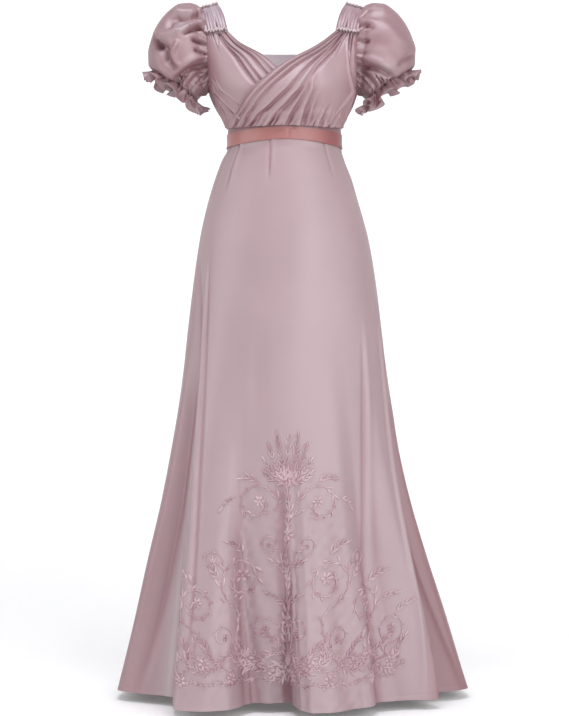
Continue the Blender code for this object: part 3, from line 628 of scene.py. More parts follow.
def skirt_form(angle, height):
    """The skirt: an ellipse in four quarters at each height, with folds added along the radius."""
    turn = np.radians(angle)
    row = read_at(SKIRT, "height", height)
    half_width = np.where(np.sin(turn) < 0, row.right, row.left)
    depth = np.where(np.cos(turn) > 0, row.front, row.back)
    radius = 1 / np.hypot(np.sin(turn) / half_width, np.cos(turn) / depth)
    for fold in SKIRT_FOLDS:
        fallen, near = fold_part(fold, angle, height)
        radius = radius + fold.depth * fallen**FOLD_GROWTH * near
    x = WAIST_CENTRE + radius * np.sin(turn)
    return np.stack([x, -radius * np.cos(turn), height + 0 * x], axis=-1)


# ---- relief: how far creases, gathers and stitches raise or sink the cloth ----
def waves(rows, across, down):
    """The sum of slanted sine waves: height * sin(2 pi (across * x + down * y) + phase)."""
    total = 0 * across
    for wave in rows:
        turns = wave.across * across + wave.down * down
        total = total + wave.height * np.sin(2 * np.pi * turns + wave.phase)
    return total


def uneven(turns, sway):
    """Turns that bunch and spread, so that gathers counted in them differ in width."""
    return turns + sway * np.sin(2 * np.pi * turns * 0.137 + 1.3) + sway * 0.6 * np.sin(turns * 2.71 + 0.4)


def pinched(turns):
    """A row of gathers: rounded ridges with narrow troughs, from -1 to 1, once each turn."""
    return 2 * np.abs(np.cos(np.pi * turns)) ** PINCH - 1


def skirt_creases(angle, height, metres_per_degree):
    """Bowed troughs and ridges down the skirt, each a bell across it that fades at its ends."""
    total = 0 * angle
    for crease in SKIRT_CREASES:
        share = (crease.top - height) / (crease.top - crease.foot)
        path = crease.top_angle + (crease.foot_angle - crease.top_angle) * share
        path = path + crease.bow * np.sin(np.pi * np.clip(share, 0.0, 1.0))
        off = signed_turn(angle - path) * metres_per_degree
        grown = 1.0 if crease.top > SKIRT_SEAM else ease((crease.top - height) / CREASE_FADE_IN)
        present = grown * ease((1 - share) / CREASE_FADE_OUT)
        total = total + crease.depth * present * bell(off / crease.width)
    return total


def embroidered(across, height):
    """1 where the embroidery pulls on the cloth, fading to 0 outside its outline."""
    reach = column(EMBROIDERY_REACH, "height", "reach", height)
    return ease((reach - np.abs(across)) / PULL_FADE) * ease((EMBROIDERY_TOP - height) / PULL_FADE)


def skirt_relief(angle, height, metres_per_degree, strength):
    """Everything raised or sunk on the skirt: creases, gathers at the back, pulls and the hem's stitching."""
    relief = skirt_creases(angle, height, metres_per_degree)
    turn = np.radians(angle)
    relief += waves(DRAPE, np.sin(turn) * 0.5 + 0.5, -height) * ease((SKIRT_SEAM - height) / DRAPE_FADE)
    at_back = ease((BACK_GATHERS_FROM - np.cos(turn)) / BACK_GATHERS_FADE)
    below = (SKIRT_SEAM - height) / BACK_GATHER_LENGTH
    gathers = pinched(uneven(angle / 360.0 * BACK_GATHERS * 2, BACK_GATHER_SWAY))
    relief += BACK_GATHER_DEPTH * gathers * at_back * (1 - ease(below)) * ease(below * 6 + 0.3)
    across = (angle - EMBROIDERY_CENTRE) * metres_per_degree
    relief += waves(PULLS, across, height) * embroidered(across, height)
    return relief * strength - HEM_GROOVE * bell((height - HEM - HEM_WIDTH) / HEM_GROOVE_WIDTH)


def skirt_cloth(angle, height, strength):
    """The skirt's finished outer face: its form, raised by the relief along its own normal."""
    turned, risen = slopes(skirt_form, angle, height, ANGLE_STEP, HEIGHT_STEP)
    metres_per_degree = np.linalg.norm(turned, axis=-1) / (2 * ANGLE_STEP)
    relief = skirt_relief(angle, height, metres_per_degree, strength)
    return skirt_form(angle, height) + unit(np.cross(turned, risen)) * relief[..., None]


def panel_folds(rows, across, down):
    """Folds from strap to waist: each a trough, soft on one side and crisp with a ridge on the other.

    A fold's path is the parabola through its three shares, and its depth sways a little along it."""
    total = 0 * across
    for fold in rows:
        path = fold.strap * (1 - down) * (1 - 2 * down) + fold.middle * 4 * down * (1 - down)
        path = path + fold.waist * down * (2 * down - 1)
        path = path + FOLD_SWAY * np.sin(2 * np.pi * (1.2 * down + 5 * fold.strap))
        reach = fold.width * (1 + FOLD_NARROWS * (1 - down))
        off = (across - path) / reach
        trough = np.where(off > 0, bell(off), bell(off / CRISP_SHARE))
        ridge = bell((off + RIDGE_OFF) / RIDGE_WIDTH)
        present = ease((down - fold.start) / FOLD_FADE) * ease((fold.end - down) / FOLD_FADE)
        present = present * (1 + FOLD_UNEVEN * np.sin(2 * np.pi * (1.4 * down + 7 * fold.strap)))
        total = total + fold.depth * present * (trough - RIDGE_SHARE * ridge)
    return total


def sleeve_creases(rows, points, at_front):
    """Creases drawn on the front (or back) view: a bell across a bowed line, fading past its ends."""
    total = 0 * points[..., 0]
    for crease in rows:
        run = np.array([crease.x1 - crease.x0, crease.z1 - crease.z0])
        length = np.hypot(*run)
        x, z = points[..., 0] - crease.x0, points[..., 2] - crease.z0
        share = (x * run[0] + z * run[1]) / length**2
        off = (z * run[0] - x * run[1]) / length
        off = off - crease.bow * np.sin(np.pi * np.clip(share, 0.0, 1.0))
        past = np.maximum(np.abs(share - 0.5) - 0.5 + CREASE_INSET, 0.0) * length
        total = total + crease.depth * bell(off / crease.width) * bell(past / (crease.width * SOFT_END))
    facing = -points[..., 1] if at_front else points[..., 1]
    return total * ease(facing / FACING_FADE)


# ---- meshes ----
# painted shade: each piece keeps, at each point, how much its colour is darkened as shade in the cloth's
# troughs and by tones
SHADE_ATTRIBUTE = "Hollow"
HOLLOW_REACH = 0.009
HOLLOW_DEPTH = 0.0022
# limits of the painted light (below 0) and of the painted shade
MOST_PAINTED_LIGHT = -0.9
MOST_PAINTED_SHADE = 1.8
SHARP_ANGLE = 60.0


def outward(grid, closed):
    """Unit normals of a grid of points: across times down, from the differences of its columns and rows."""
    across = np.gradient(grid, axis=1)
    if closed:
        across = (np.roll(grid, -1, axis=1) - np.roll(grid, 1, axis=1)) / 2
    return unit(np.cross(across, np.gradient(grid, axis=0)))


def raised(grid, relief, closed):
    """The grid moved out along its own normals by the relief."""
    return grid + outward(grid, closed) * relief[..., None]


def mirrored(grid):
    """The same grid on the wearer's other side, with its columns turned so that it still faces out."""
    return (grid * np.array([-1.0, 1.0, 1.0]))[:, ::-1]


def on_side(side, grid, tone):
    """A piece made for the wearer's left and its painted shade, or both mirrored for the wearer's right."""
    return (mirrored(grid), tone[:, ::-1]) if side == "right" else (grid, tone)


def ring_closed(grid):
    """A closed grid with its first column repeated after its last."""
    return np.concatenate([grid, grid[:, :1]], axis=1)


def runs(grid, closed):
    """Lengths of cloth along a grid: (across from the middle column, down from the first row)."""
    grid = ring_closed(grid) if closed else grid
    across = totals(gaps(grid, 1), axis=1)
    across -= across[:, across.shape[1] // 2][:, None]
    return across, totals(gaps(grid, 0))


def box_mean(grid, axis, loop, reach):
    """The mean of each point and of reach points on either side of it along one axis."""
    widths = [(0, 0)] * grid.ndim
    widths[axis] = (reach + 1, reach)
    total = np.cumsum(np.pad(grid, widths, mode="wrap" if loop else "edge"), axis=axis)
    count = grid.shape[axis]
    upper = np.take(total, np.arange(count) + 2 * reach + 1, axis=axis)
    return (upper - np.take(total, np.arange(count), axis=axis)) / (2 * reach + 1)


def hollowness(grid, closed):
    """0 to 1: how far each point lies below the mean of its surroundings, as in a trough of the cloth; shade
    is painted there by this.
    """
    mean = grid
    for axis, loop in ((0, False), (1, closed)):
        reach = max(int(round(HOLLOW_REACH / gaps(grid, axis).mean())), 1)
        mean = box_mean(box_mean(mean, axis, loop, reach), axis, loop, reach)
    sunk = ((mean - grid) * outward(grid, closed)).sum(axis=-1)
    return ease(sunk / HOLLOW_DEPTH)


def grid_quads(index):
    """Quads of a grid of indices, over its last two axes, facing the way that across times down points."""
    corners = [index[..., :-1, :-1], index[..., :-1, 1:], index[..., 1:, 1:], index[..., 1:, :-1]]
    return np.stack(corners, axis=-1).reshape(-1, 4)


def wall_faces(index, closed, inner_by):
    """Quads of a thin wall between an outer grid of indices and the same ones inner_by further on."""
    outer = grid_quads(index)
    quads = [outer, outer[:, ::-1] + inner_by]
    rims = [(index[0, :-1], index[0, 1:]), (index[-1, 1:], index[-1, :-1])]
    if not closed:
        rims += [(index[1:, 0], index[:-1, 0]), (index[:-1, -1], index[1:, -1])]
    for start, end in rims:
        quads.append(np.stack([start, start + inner_by, end + inner_by, end], axis=-1))
    return np.concatenate(quads)


def build_mesh(name, points, polygons, uv, hollow=None):
    """A mesh object from arrays: points, (faces, corners) indexes, a UV at each corner and the painted shade
    at each point.
    """
    corners = np.concatenate([faces.reshape(-1) for faces in polygons])
    totals = np.concatenate([np.full(len(faces), faces.shape[1]) for faces in polygons])
    mesh = bpy.data.meshes.new(name)
    mesh.vertices.add(len(points))
    mesh.vertices.foreach_set("co", np.asarray(points, np.float32).reshape(-1))
    mesh.loops.add(len(corners))
    mesh.loops.foreach_set("vertex_index", corners.astype(np.int32))
    mesh.polygons.add(len(totals))
    mesh.polygons.foreach_set("loop_start", (np.cumsum(totals) - totals).astype(np.int32))
    mesh.polygons.foreach_set("loop_total", totals.astype(np.int32))
    layer = mesh.uv_layers.new(name="Cloth")
    layer.data.foreach_set("uv", np.asarray(uv, np.float32).reshape(-1))
    if hollow is not None:
        layer = mesh.attributes.new(SHADE_ATTRIBUTE, "FLOAT", "POINT")
        layer.data.foreach_set("value", np.asarray(hollow, np.float32).reshape(-1))
    mesh.update(calc_edges=True)
    mesh.validate()
    mesh.shade_smooth()
    mesh.set_sharp_from_angle(angle=np.radians(SHARP_ANGLE))
    obj = bpy.data.objects.new(name, mesh)
    bpy.context.scene.collection.objects.link(obj)
    return obj


def cloth_wall(name, outer, closed, thickness, tone=0.0):
    """A thin closed wall: the outer grid, the same moved in by the thickness, and rims on its open edges.

    Its painted shade is its hollowness plus the tone; a tone below 0 paints light."""
    inner = outer - outward(outer, closed) * thickness
    count = outer[..., 0].size
    index = np.arange(count).reshape(outer.shape[:2])
    faces = wall_faces(ring_closed(index) if closed else index, closed, count)
    lengths = np.stack(runs(outer, closed), axis=-1)
    corner_index = np.arange(lengths[..., 0].size).reshape(lengths.shape[:2])
    lengths = lengths.reshape(-1, 2)
    corners = wall_faces(corner_index, closed, len(lengths)).reshape(-1) % len(lengths)
    points = np.concatenate([outer.reshape(-1, 3), inner.reshape(-1, 3)])
    hollow = np.clip(hollowness(outer, closed) + tone, MOST_PAINTED_LIGHT, MOST_PAINTED_SHADE).reshape(-1)
    return build_mesh(name, points, [faces], lengths[corners], np.concatenate([hollow, 0 * hollow]))


def line_inside(obj, grid, closed, lining):
    """Gives the inner faces of a cloth wall, which follow its outer ones, a lining of their own."""
    rows, columns = grid.shape[:2]
    quads = (rows - 1) * (columns if closed else columns - 1)
    side = np.zeros(len(obj.data.polygons), np.int32)
    side[quads : 2 * quads] = 1
    obj.data.materials.append(lining)
    obj.data.polygons.foreach_set("material_index", side)


def sheet_size(grid, closed):
    """(width, length, area) of the flat cloth in a grid: its longest row, longest column and area."""
    across, down = runs(grid, closed)
    grid = ring_closed(grid) if closed else grid
    diagonals = np.cross(grid[1:, 1:] - grid[:-1, :-1], grid[1:, :-1] - grid[:-1, 1:])
    area = np.linalg.norm(diagonals, axis=-1).sum() / 2
    return (across[:, -1] - across[:, 0]).max(), down[-1].max(), area


def dress(obj, nodes, material):
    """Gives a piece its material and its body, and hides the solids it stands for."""
    obj.data.materials.append(material)
    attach(obj, "root")
    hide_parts(*nodes)
    return obj


def sew(name, grid, closed, thickness, node, material, tone):
    """One piece of cloth from its outer grid; the size of its flat sheet is worked out but not used."""
    obj = dress(cloth_wall(name, grid, closed, thickness, tone), [node], material)
    width, length, area = sheet_size(grid, closed)
    return obj


def grid_of(rows, columns):
    """Two arrays over a grid: a share across (columns) and a share down (rows), given as shares or counts."""
    rows = np.linspace(0, 1, rows) if np.isscalar(rows) else rows
    columns = np.linspace(0, 1, columns) if np.isscalar(columns) else columns
    down, across = np.meshgrid(rows, columns, indexing="ij")
    return across, down


# ---- materials ----
Finish = namedtuple("Finish", "roughness lustre weave crumple")
GOWN_FINISH = Finish(0.55, 1.0, 0.35, 0.03)
RIBBON_FINISH = Finish(0.45, 0.50, 0.60, 0.05)
# the satin, and copies of it made darker by painted shade or paler by painted light
SATIN_LIT_AND_SHADED_COPIES = {
    "Rose satin": (1.0, 1.0, 1.0, 1.0),
    "Gathered satin": (0.99, 0.93, 0.935, 1.0),  # the crossed fronts: painted shade
    "Pale satin": (1.08, 1.20, 1.25, 1.0),  # the straps: painted light
    "Deep satin": (0.80, 0.64, 0.66, 1.0),  # the sleeves and frills: painted shade
    # the back's inside: a paler lining, with painted light on top
    "Pale lining": (2.35, 3.0, 3.0, 1.0),
}
PAINTED_SHADE_TONE = (0.79, 0.57, 0.61, 1.0)  # painted shade: what a hollowness of 1 does to the colour
SILK_IOR = 1.75
DYE_PATCHES = 7.0  # a metre
DYE_RANGE = (0.35, 0.65)
DYE_UNEVEN = 0.035
FLOATS = (260.0, 2600.0, 1.0)  # a metre across and down the cloth
FLOAT_RELIEF = 0.0002
CRUMPLES = 26.0  # a metre
CRUMPLE_RELIEF = 0.004
THREAD_SHADER = {"Roughness": 0.42, "IOR": SILK_IOR, "Specular IOR Level": 0.8}
THREAD_DEEP = (0.78, 0.64, 0.70, 1.0)
THREAD_RIM = (0.54, 0.38, 0.44, 1.0)
THREAD_PATCHES = 30.0  # a metre
THREAD_RANGE = (0.42, 0.62)
STITCHES = 260.0
STITCH_RELIEF = 0.0003
RIM_FROM = 0.62  # share of the way from a motif's middle line to its edge
PEARL_SHADER = {"Roughness": 0.22, "Coat Weight": 0.6, "Coat Roughness": 0.08}
PEARL_ROSY = (1.0, 0.86, 0.88, 1.0)
PEARL_CLOUDS = 160.0  # a metre


def set_inputs(tree, node, inputs):
    """Sets values on a node's inputs, or links them to sockets."""
    for key, value in inputs.items():
        if isinstance(value, bpy.types.NodeSocket):
            tree.links.new(value, node.inputs[key])
        else:
            node.inputs[key].default_value = value


def add_node(tree, kind, settings, inputs):
    """A shader node with these settings, and these values set on, or linked to, its inputs."""
    node = tree.nodes.new(kind)
    for key, value in settings.items():
        setattr(node, key, value)
    set_inputs(tree, node, inputs)
    return node


def new_material(name, values):
    """A material with these values on its shader: (material, its tree, its shader, texture coordinates)."""
    material = bpy.data.materials.new(name)
    material.use_nodes = True
    tree = material.node_tree
    shader = tree.nodes["Principled BSDF"]
    set_inputs(tree, shader, values)
    return material, tree, shader, add_node(tree, "ShaderNodeTexCoord", {}, {}).outputs


def noise(tree, place, scale, detail, roughness=0.5, **settings):
    """Soft grey noise at a place, with so many patches a unit."""
    inputs = {"Vector": place, "Scale": scale, "Detail": detail, "Roughness": roughness}
    return add_node(tree, "ShaderNodeTexNoise", settings, inputs).outputs["Fac"]


def between(tree, value, low, high):
    """0 to 1 as a value rises from low to high."""
    inputs = {"Value": value, "From Min": low, "From Max": high}
    return add_node(tree, "ShaderNodeMapRange", {}, inputs).outputs["Result"]


def relief_of(tree, height, strength, distance, **normal):
    """The normal of a surface raised by a height, on top of another normal if one is given."""
    inputs = {"Height": height, "Strength": strength, "Distance": distance, **normal}
    return add_node(tree, "ShaderNodeBump", {}, inputs).outputs["Normal"]


def mix_colours(tree, factor, first, second):
    """A colour between two colours, by a factor socket."""
    inputs = {"Factor": factor, "A": first, "B": second}
    return add_node(tree, "ShaderNodeMix", {"data_type": "RGBA"}, inputs).outputs["Result"]


def with_painted_shade(tree, colour, times, tone):
    """Painted shade and painted light: a colour times a tone to the power of times; 0 leaves it plain, above
    0 paints shade, below 0 paints light.
    """
    shares = [
        add_node(tree, "ShaderNodeMath", {"operation": "POWER"}, {0: share, 1: times}).outputs["Value"]
        for share in tone[:3]
    ]
    toning = add_node(tree, "ShaderNodeCombineColor", {}, dict(zip(("Red", "Green", "Blue"), shares)))
    inputs = {0: colour, 1: toning.outputs["Color"]}
    return add_node(tree, "ShaderNodeVectorMath", {"operation": "MULTIPLY"}, inputs).outputs["Vector"]


def toned(colour, tone):
    """A colour times a tone, channel by channel, never over white."""
    return tuple(min(channel * share, 1.0) for channel, share in zip(colour, tone))


def shaded(colour, factor):
    """A colour made darker (factor below 1) or paler, with full opacity."""
    return toned(colour, (factor, factor, factor, 1.0))


def satin(name, colour, finish):
    """Woven satin: slight unevenness of dye, painted shade and painted light from the piece's attribute, fine
    floats across the cloth and a soft crumple.

    The floats are bands across the UV, which is in metres; the crumple is noise in the object's space."""
    values = {"Roughness": finish.roughness, "IOR": SILK_IOR, "Specular IOR Level": finish.lustre}
    material, tree, shader, place = new_material(name, values)
    patchy = between(tree, noise(tree, place["Object"], DYE_PATCHES, 3.0), *DYE_RANGE)
    tint = mix_colours(tree, patchy, shaded(colour, 1 - DYE_UNEVEN), shaded(colour, 1 + DYE_UNEVEN))
    # painted shade and painted light, read from the piece's attribute
    hollow = add_node(tree, "ShaderNodeAttribute", {"attribute_name": SHADE_ATTRIBUTE}, {})
    tint = with_painted_shade(tree, tint, hollow.outputs["Fac"], PAINTED_SHADE_TONE)
    stretched = add_node(tree, "ShaderNodeMapping", {}, {"Vector": place["UV"], "Scale": FLOATS})
    floats = noise(tree, stretched.outputs["Vector"], 1.0, 2.0, 0.6, noise_dimensions="2D")
    crumpled = noise(tree, place["Object"], CRUMPLES, 3.0, 0.45)
    fine = relief_of(tree, floats, finish.weave, FLOAT_RELIEF)
    normal = relief_of(tree, crumpled, finish.crumple, CRUMPLE_RELIEF, Normal=fine)
    set_inputs(tree, shader, {"Base Color": tint, "Normal": normal})
    return material


def thread(name, colour):
    """Silky thread: stitches across each motif, a deeper tone in patches and a shadow at each motif's edge.

    The UV runs across the motif from edge to edge and along it, in metres."""
    material, tree, shader, place = new_material(name, THREAD_SHADER)
    wave = {"Vector": place["UV"], "Scale": STITCHES, "Distortion": 1.5, "Detail": 1.0}
    bands = {"bands_direction": "Y", "wave_profile": "SIN"}
    stitches = add_node(tree, "ShaderNodeTexWave", bands, wave).outputs["Fac"]
    patchy = between(tree, noise(tree, place["Object"], THREAD_PATCHES, 2.0), *THREAD_RANGE)
    dyed = mix_colours(tree, patchy, toned(colour, THREAD_DEEP), colour)
    across = add_node(tree, "ShaderNodeSeparateXYZ", {}, {"Vector": place["UV"]}).outputs["X"]
    off = add_node(tree, "ShaderNodeMath", {"operation": "ABSOLUTE"}, {0: across}).outputs["Value"]
    edge = between(tree, off, MOTIF_EDGE * RIM_FROM, MOTIF_EDGE)
    lined = mix_colours(tree, edge, dyed, toned(colour, THREAD_RIM))
    normal = relief_of(tree, stitches, 0.5, STITCH_RELIEF)
    set_inputs(tree, shader, {"Base Color": lined, "Normal": normal})
    return material


def pearl(name, colour):
    """Pearl: a pale body, a slightly rosy overtone by noise and a clear coat."""
    material, tree, shader, place = new_material(name, PEARL_SHADER)
    clouds = noise(tree, place["Object"], PEARL_CLOUDS, 1.0)
    set_inputs(tree, shader, {"Base Color": mix_colours(tree, clouds, toned(colour, PEARL_ROSY), colour)})
    return material


def gown_satin(colours, name="Rose satin"):
    """The gown's satin, plain or as a copy with painted shade or painted light, made once and shared by every
    piece cut from it.
    """
    dye = toned(colours.satin, SATIN_LIT_AND_SHADED_COPIES[name])
    return bpy.data.materials.get(name) or satin(name, dye, GOWN_FINISH)


# ---- pieces of cloth ----
SKIRT_STRETCHES = table(
    "foot rows",
    (-0.400, 24),
    (-0.840, 46),
    (-1.376, 84),
    (HEM, 10),
)
SKIRT_FRONT_COLUMNS = 290
SKIRT_BACK_COLUMNS = 190
PANEL_ROWS = 116
PANEL_COLUMNS = 250
PUCKER_LENGTH = 0.085
PUCKERS = table(
    "often shift sway length share",
    (1.0, 0.0, 0.40, 1.0, 1.0),
    (2.3, 0.6, 0.35, 0.5, 0.35),  # finer and shorter ones
    (0.43, 0.3, 0.30, 2.2, 0.6),  # a few long ones
)
HANG_FROM = 0.86  # the bodice is full above the ribbon, and its foot hangs over the waistband
HANG_DROP = 0.0085
HANG_AT_SIDES = 0.35
HANG_HALF_TURN = 78.0
HANG_OUT = {"over": 0.0016, "under": 0.0042}
HANG_SIDE_FADE = 0.10
HANG_SWELL = 0.0052
HANG_SWELL_AT = 0.93
HANG_SWELL_WIDTH = 0.055
COVER_HEIGHTS = [-0.279, -0.171, -0.128]  # where the over panel's edge lies on the under one
COVER_ACROSS = [-0.0898, -0.0126, 0.0320]
COVER_LAP = -0.002
COVER_FADE = 0.009
COVER_SINK = 0.0022  # the covered cloth lies flat and below the folds of the over panel
NECK_ROLL = 0.0009
NECK_ROLL_WIDTH = 0.012
STRAP_GATHERS = 11
STRAP_GATHER_LENGTH = 0.10
STRAP_GATHER_DEPTH = 0.0007
STRAP_GATHER_SWAY = 0.3
BACK_ROWS = 56
BACK_COLUMNS = 130
BACK_PUCKERS = 24
BACK_PUCKER_DEPTH = 0.7 * WAIST_PUCKER_DEPTH
BACK_SEAM_WIDTH = 0.8
STRAP_ROWS = 46
STRAP_FRONT_COLUMNS = 70
STRAP_BACK_COLUMNS = 28
STRAP_RISE = 0.0006
ELASTIC_FROM = 0.72
UNDER_EDGE_ACROSS = (0.148, 0.222)
UNDER_EDGE_HEIGHTS = (-0.142, -0.170)
UNDERARM_START = 0.003
UNDERARM_FADE = 0.007
UNDERARM_INSET = 0.0060
ELASTIC_WAY = (0.775, 0.632)
PUFF_ROWS = 96
PUFF_COLUMNS = 184
ARMHOLE_GATHER_START = 0.07
ARMHOLE_GATHER_LENGTH = 0.14
CALM_FROM = 0.9  # the puff is calmer towards its elastic
CALM_LENGTH = 0.1
CALM_SHARE = 0.7
FRILL_ROWS = 20
FRILL_COLUMNS = 400
FRILL_PHASES = {"left": 0.0, "right": 0.35}
FRILL_UNEVEN = 0.22
FRILL_VARIES = 0.30
FRILL_INWARDS = 0.010
FRILL_LONGER = 0.004
FRILL_LEAN = 0.55
FRILL_GROWTH = 0.85
FRILL_DOUBLE = 0.30
FRILL_UNDERARM = 0.2
FRILL_DIP = 0.35
BAND_ROWS = 10
BAND_COLUMNS = 150
BAND_STITCH = 0.10
BAND_GROOVE = 0.0004
STITCH_WIDTH = 0.03
RIBBON_ROWS = 14
RIBBON_COLUMNS = 300
RIBBON_THICKNESS = 0.0011
RIBBON_LIP = 0.0002
RIBBON_LIP_WIDTH = 0.06
RIBBON_SOFT = 0.0003
RIBBON_CREASE = 4.0
RIBBON_CREASE_WIDTH = 0.9
RIBBON_CREASE_DEPTH = 0.0012

# Painted shade in places (painted light, below 0), on top of the painted shade in the cloth's hollows.
VALLEY_PAINTED_SHADES = table(
    "name top_angle hem_angle before after flat start share",
    ("right side valley", -76.0, -82.5, 12.0, 10.5, 0.25, -0.44, 0.85),
    ("right flank gleam", -67.0, -69.0, 7.0, 6.5, 0.20, -0.90, -0.58),
    ("left side valley", 87.0, 76.5, 10.0, 18.0, 0.55, -0.56, 1.80),
)
VALLEY_SHADE_GROWS = 0.75
# painted shade high on the skirt front
TOP_PAINTED_SHADE = 0.30
TOP_FALL = 0.16
TOP_TURN = 34.0  # degrees
# painted shade on the crossed fronts: towards the waist, towards the sides and in the folds
GATHERS_PAINTED_SHADE = 0.35
GATHERS_PAINTED_SHADE_FROM = 0.45
SIDES_PAINTED_SHADE = 1.10
SIDES_PAINTED_SHADE_FROM = 0.62
FRONT_FOLD_SHADE_DEPTH = 0.0070
# painted shade on the straps: in their folds, and more on the wearer's left strap than the right one, which
# gets painted light
STRAP_FOLD_SHADE_DEPTH = 0.0050
STRAP_PAINTED_SHADE = {"left": 0.50, "right": -0.10}
# painted shade in the middle of each puff, painted light at its crown or its foot
LEFT_PUFF_PAINTED_SHADES = table(
    SLEEVE_PAINTED_SHADE,
    ("middle", 0.204, -0.108, 0.034, 0.75),
    ("foot", 0.204, -0.150, 0.024, -0.85),
)
RIGHT_PUFF_PAINTED_SHADES = table(
    SLEEVE_PAINTED_SHADE,
    ("crown", 0.202, -0.061, 0.026, -0.80),
    ("middle", 0.216, -0.134, 0.030, 0.95),
)
PUFF_PAINTED_SHADES = {"left": LEFT_PUFF_PAINTED_SHADES, "right": RIGHT_PUFF_PAINTED_SHADES}
# painted light over the whole frill, and painted light and shade along its flutes
FRILL_PAINTED_LIGHT = 0.05
FRILL_FLUTE_SHADING = 0.45
# painted shade on the ribbon: beside its centre crease, and a painted shadow towards the wearer's left side
RIBBON_CREASE_SHADE = 0.10
RIBBON_END_PAINTED_SHADE = 1.8
RIBBON_END = 80.0  # degrees: where the painted shadow is deepest, under the wearer's left arm
RIBBON_END_WIDTH = 40.0
RIBBON_CREASE_SHADE_AT = -2.0
RIBBON_CREASE_SHADE_WIDTH = 8.0
# painted shade over the whole waistband
BAND_PAINTED_SHADE = 1.80


def even_angles(first_angle, last_angle, columns):
    """Angles that share the hem's length evenly, so that steep folds get as many points as level ones."""
    fine = np.linspace(first_angle, last_angle, HEM_SAMPLES)
    run = totals(gaps(skirt_form(fine, HEM + 0 * fine), 0))
    return np.interp(np.linspace(0, run[-1], columns), run, fine)


def skirt_heights():
    """Levels of the skirt's rows: close together at the tucks, under the embroidery and at the hem."""
    levels = [SKIRT_SEAM - SEAM_GAP]
    for stretch in SKIRT_STRETCHES:
        levels += list(np.linspace(levels[-1], stretch.foot, stretch.rows + 1)[1:])
    return np.array(levels)


def skirt_painted_shade(angle, height):
    """The skirt's painted shade: in its side valleys, more towards the hem, and high in front, with painted
    light on the right flank.
    """
    total = 0 * angle
    for valley in VALLEY_PAINTED_SHADES:
        fallen, near = fold_part(valley, angle, height)
        total = total + valley.share * ease(fallen / VALLEY_SHADE_GROWS) * near
    return total + TOP_PAINTED_SHADE * bell((height - SKIRT_SEAM) / TOP_FALL) * bell(angle / TOP_TURN)


def skirt_panel(sizes, colours, side, first_angle, last_angle, columns):
    """One panel of the skirt, from side seam to side seam and from the waistband to the hem."""
    angles = even_angles(first_angle, last_angle, columns)[::-1]
    height, angle = np.meshgrid(skirt_heights(), angles, indexing="ij")
    # the skirt's painted shade and painted light
    outer, tone = skirt_cloth(angle, height, sizes.creases), skirt_painted_shade(angle, height)
    name, node, made = f"satin_skirt_{side}", f"skirt_{side}", gown_satin(colours)
    return sew(name, outer, False, sizes.cloth, node, made, tone)


def waist_puckers(across, down, count, depth):
    """Gathers of three sizes where a panel is drawn up on to the waistband: they die away above it."""
    total = 0 * across
    for size in PUCKERS:
        gathers = pinched(uneven(across * count * size.often + size.shift, size.sway))
        total = total + size.share * (gathers * bell((1 - down) / (PUCKER_LENGTH * size.length)))
    return depth * total


def front_place(which, across, down, neckline, lift):
    """A front panel's plain form as (angle, height, lift): full above the waistband and hanging over it."""
    angle, height = panel_edges(neckline, across, down)
    angle = np.minimum(angle, SIDE_SEAM - SIDE_SEAM_GAP)
    hang = ease_from(down, HANG_FROM) * ease((1 - across) / HANG_SIDE_FADE)
    at_front = bump(angle / HANG_HALF_TURN, 0.5)
    height = height - HANG_DROP * hang * (HANG_AT_SIDES + (1 - HANG_AT_SIDES) * at_front)
    rise = front_lift(across, down, lift) + HANG_OUT[which] * hang
    swell = HANG_SWELL * bell((down - HANG_SWELL_AT) / HANG_SWELL_WIDTH) * ease((1 - across) / LIFT_FADES)
    return angle, height, rise + swell


def crossed_front(sizes, colours, which, neckline, folds, lift, side):
    """One gathered front panel: its folds fan out from the strap to the waist seam."""
    across, down = grid_of(PANEL_ROWS, PANEL_COLUMNS)
    angle, height, rise = front_place(which, across, down, neckline, lift)
    relief = sizes.creases * panel_folds(folds, across, down)
    # painted shade towards the waist and the sides and in the folds' troughs, painted light on their ridges
    tone = GATHERS_PAINTED_SHADE * ease_from(down, GATHERS_PAINTED_SHADE_FROM)
    tone = tone + SIDES_PAINTED_SHADE * ease_from(across, SIDES_PAINTED_SHADE_FROM) - relief / FRONT_FOLD_SHADE_DEPTH
    relief += sizes.gathers * waist_puckers(across, down, WAIST_PUCKERS, WAIST_PUCKER_DEPTH)
    relief += NECK_ROLL * bell(across / NECK_ROLL_WIDTH)
    fine = pinched(uneven(across * STRAP_GATHERS, STRAP_GATHER_SWAY)) * bell(down / STRAP_GATHER_LENGTH)
    relief += sizes.gathers * STRAP_GATHER_DEPTH * fine
    if side == "right":
        base = on_body(-angle, height, rise)
    else:
        base, relief, tone = on_body(angle, height, rise)[:, ::-1], relief[:, ::-1], tone[:, ::-1]
    if which == "under":
        edge = np.interp(base[..., 2], COVER_HEIGHTS, COVER_ACROSS)
        covered = ease((base[..., 0] - edge - COVER_LAP) / COVER_FADE)
        relief = relief * (1 - covered) - COVER_SINK * covered
    outer, made = raised(base, relief, False), gown_satin(colours, "Gathered satin")
    name, node = f"satin_front_{which}", f"bodice_front_{which}"
    return sew(name, outer, False, sizes.cloth, node, made, tone)


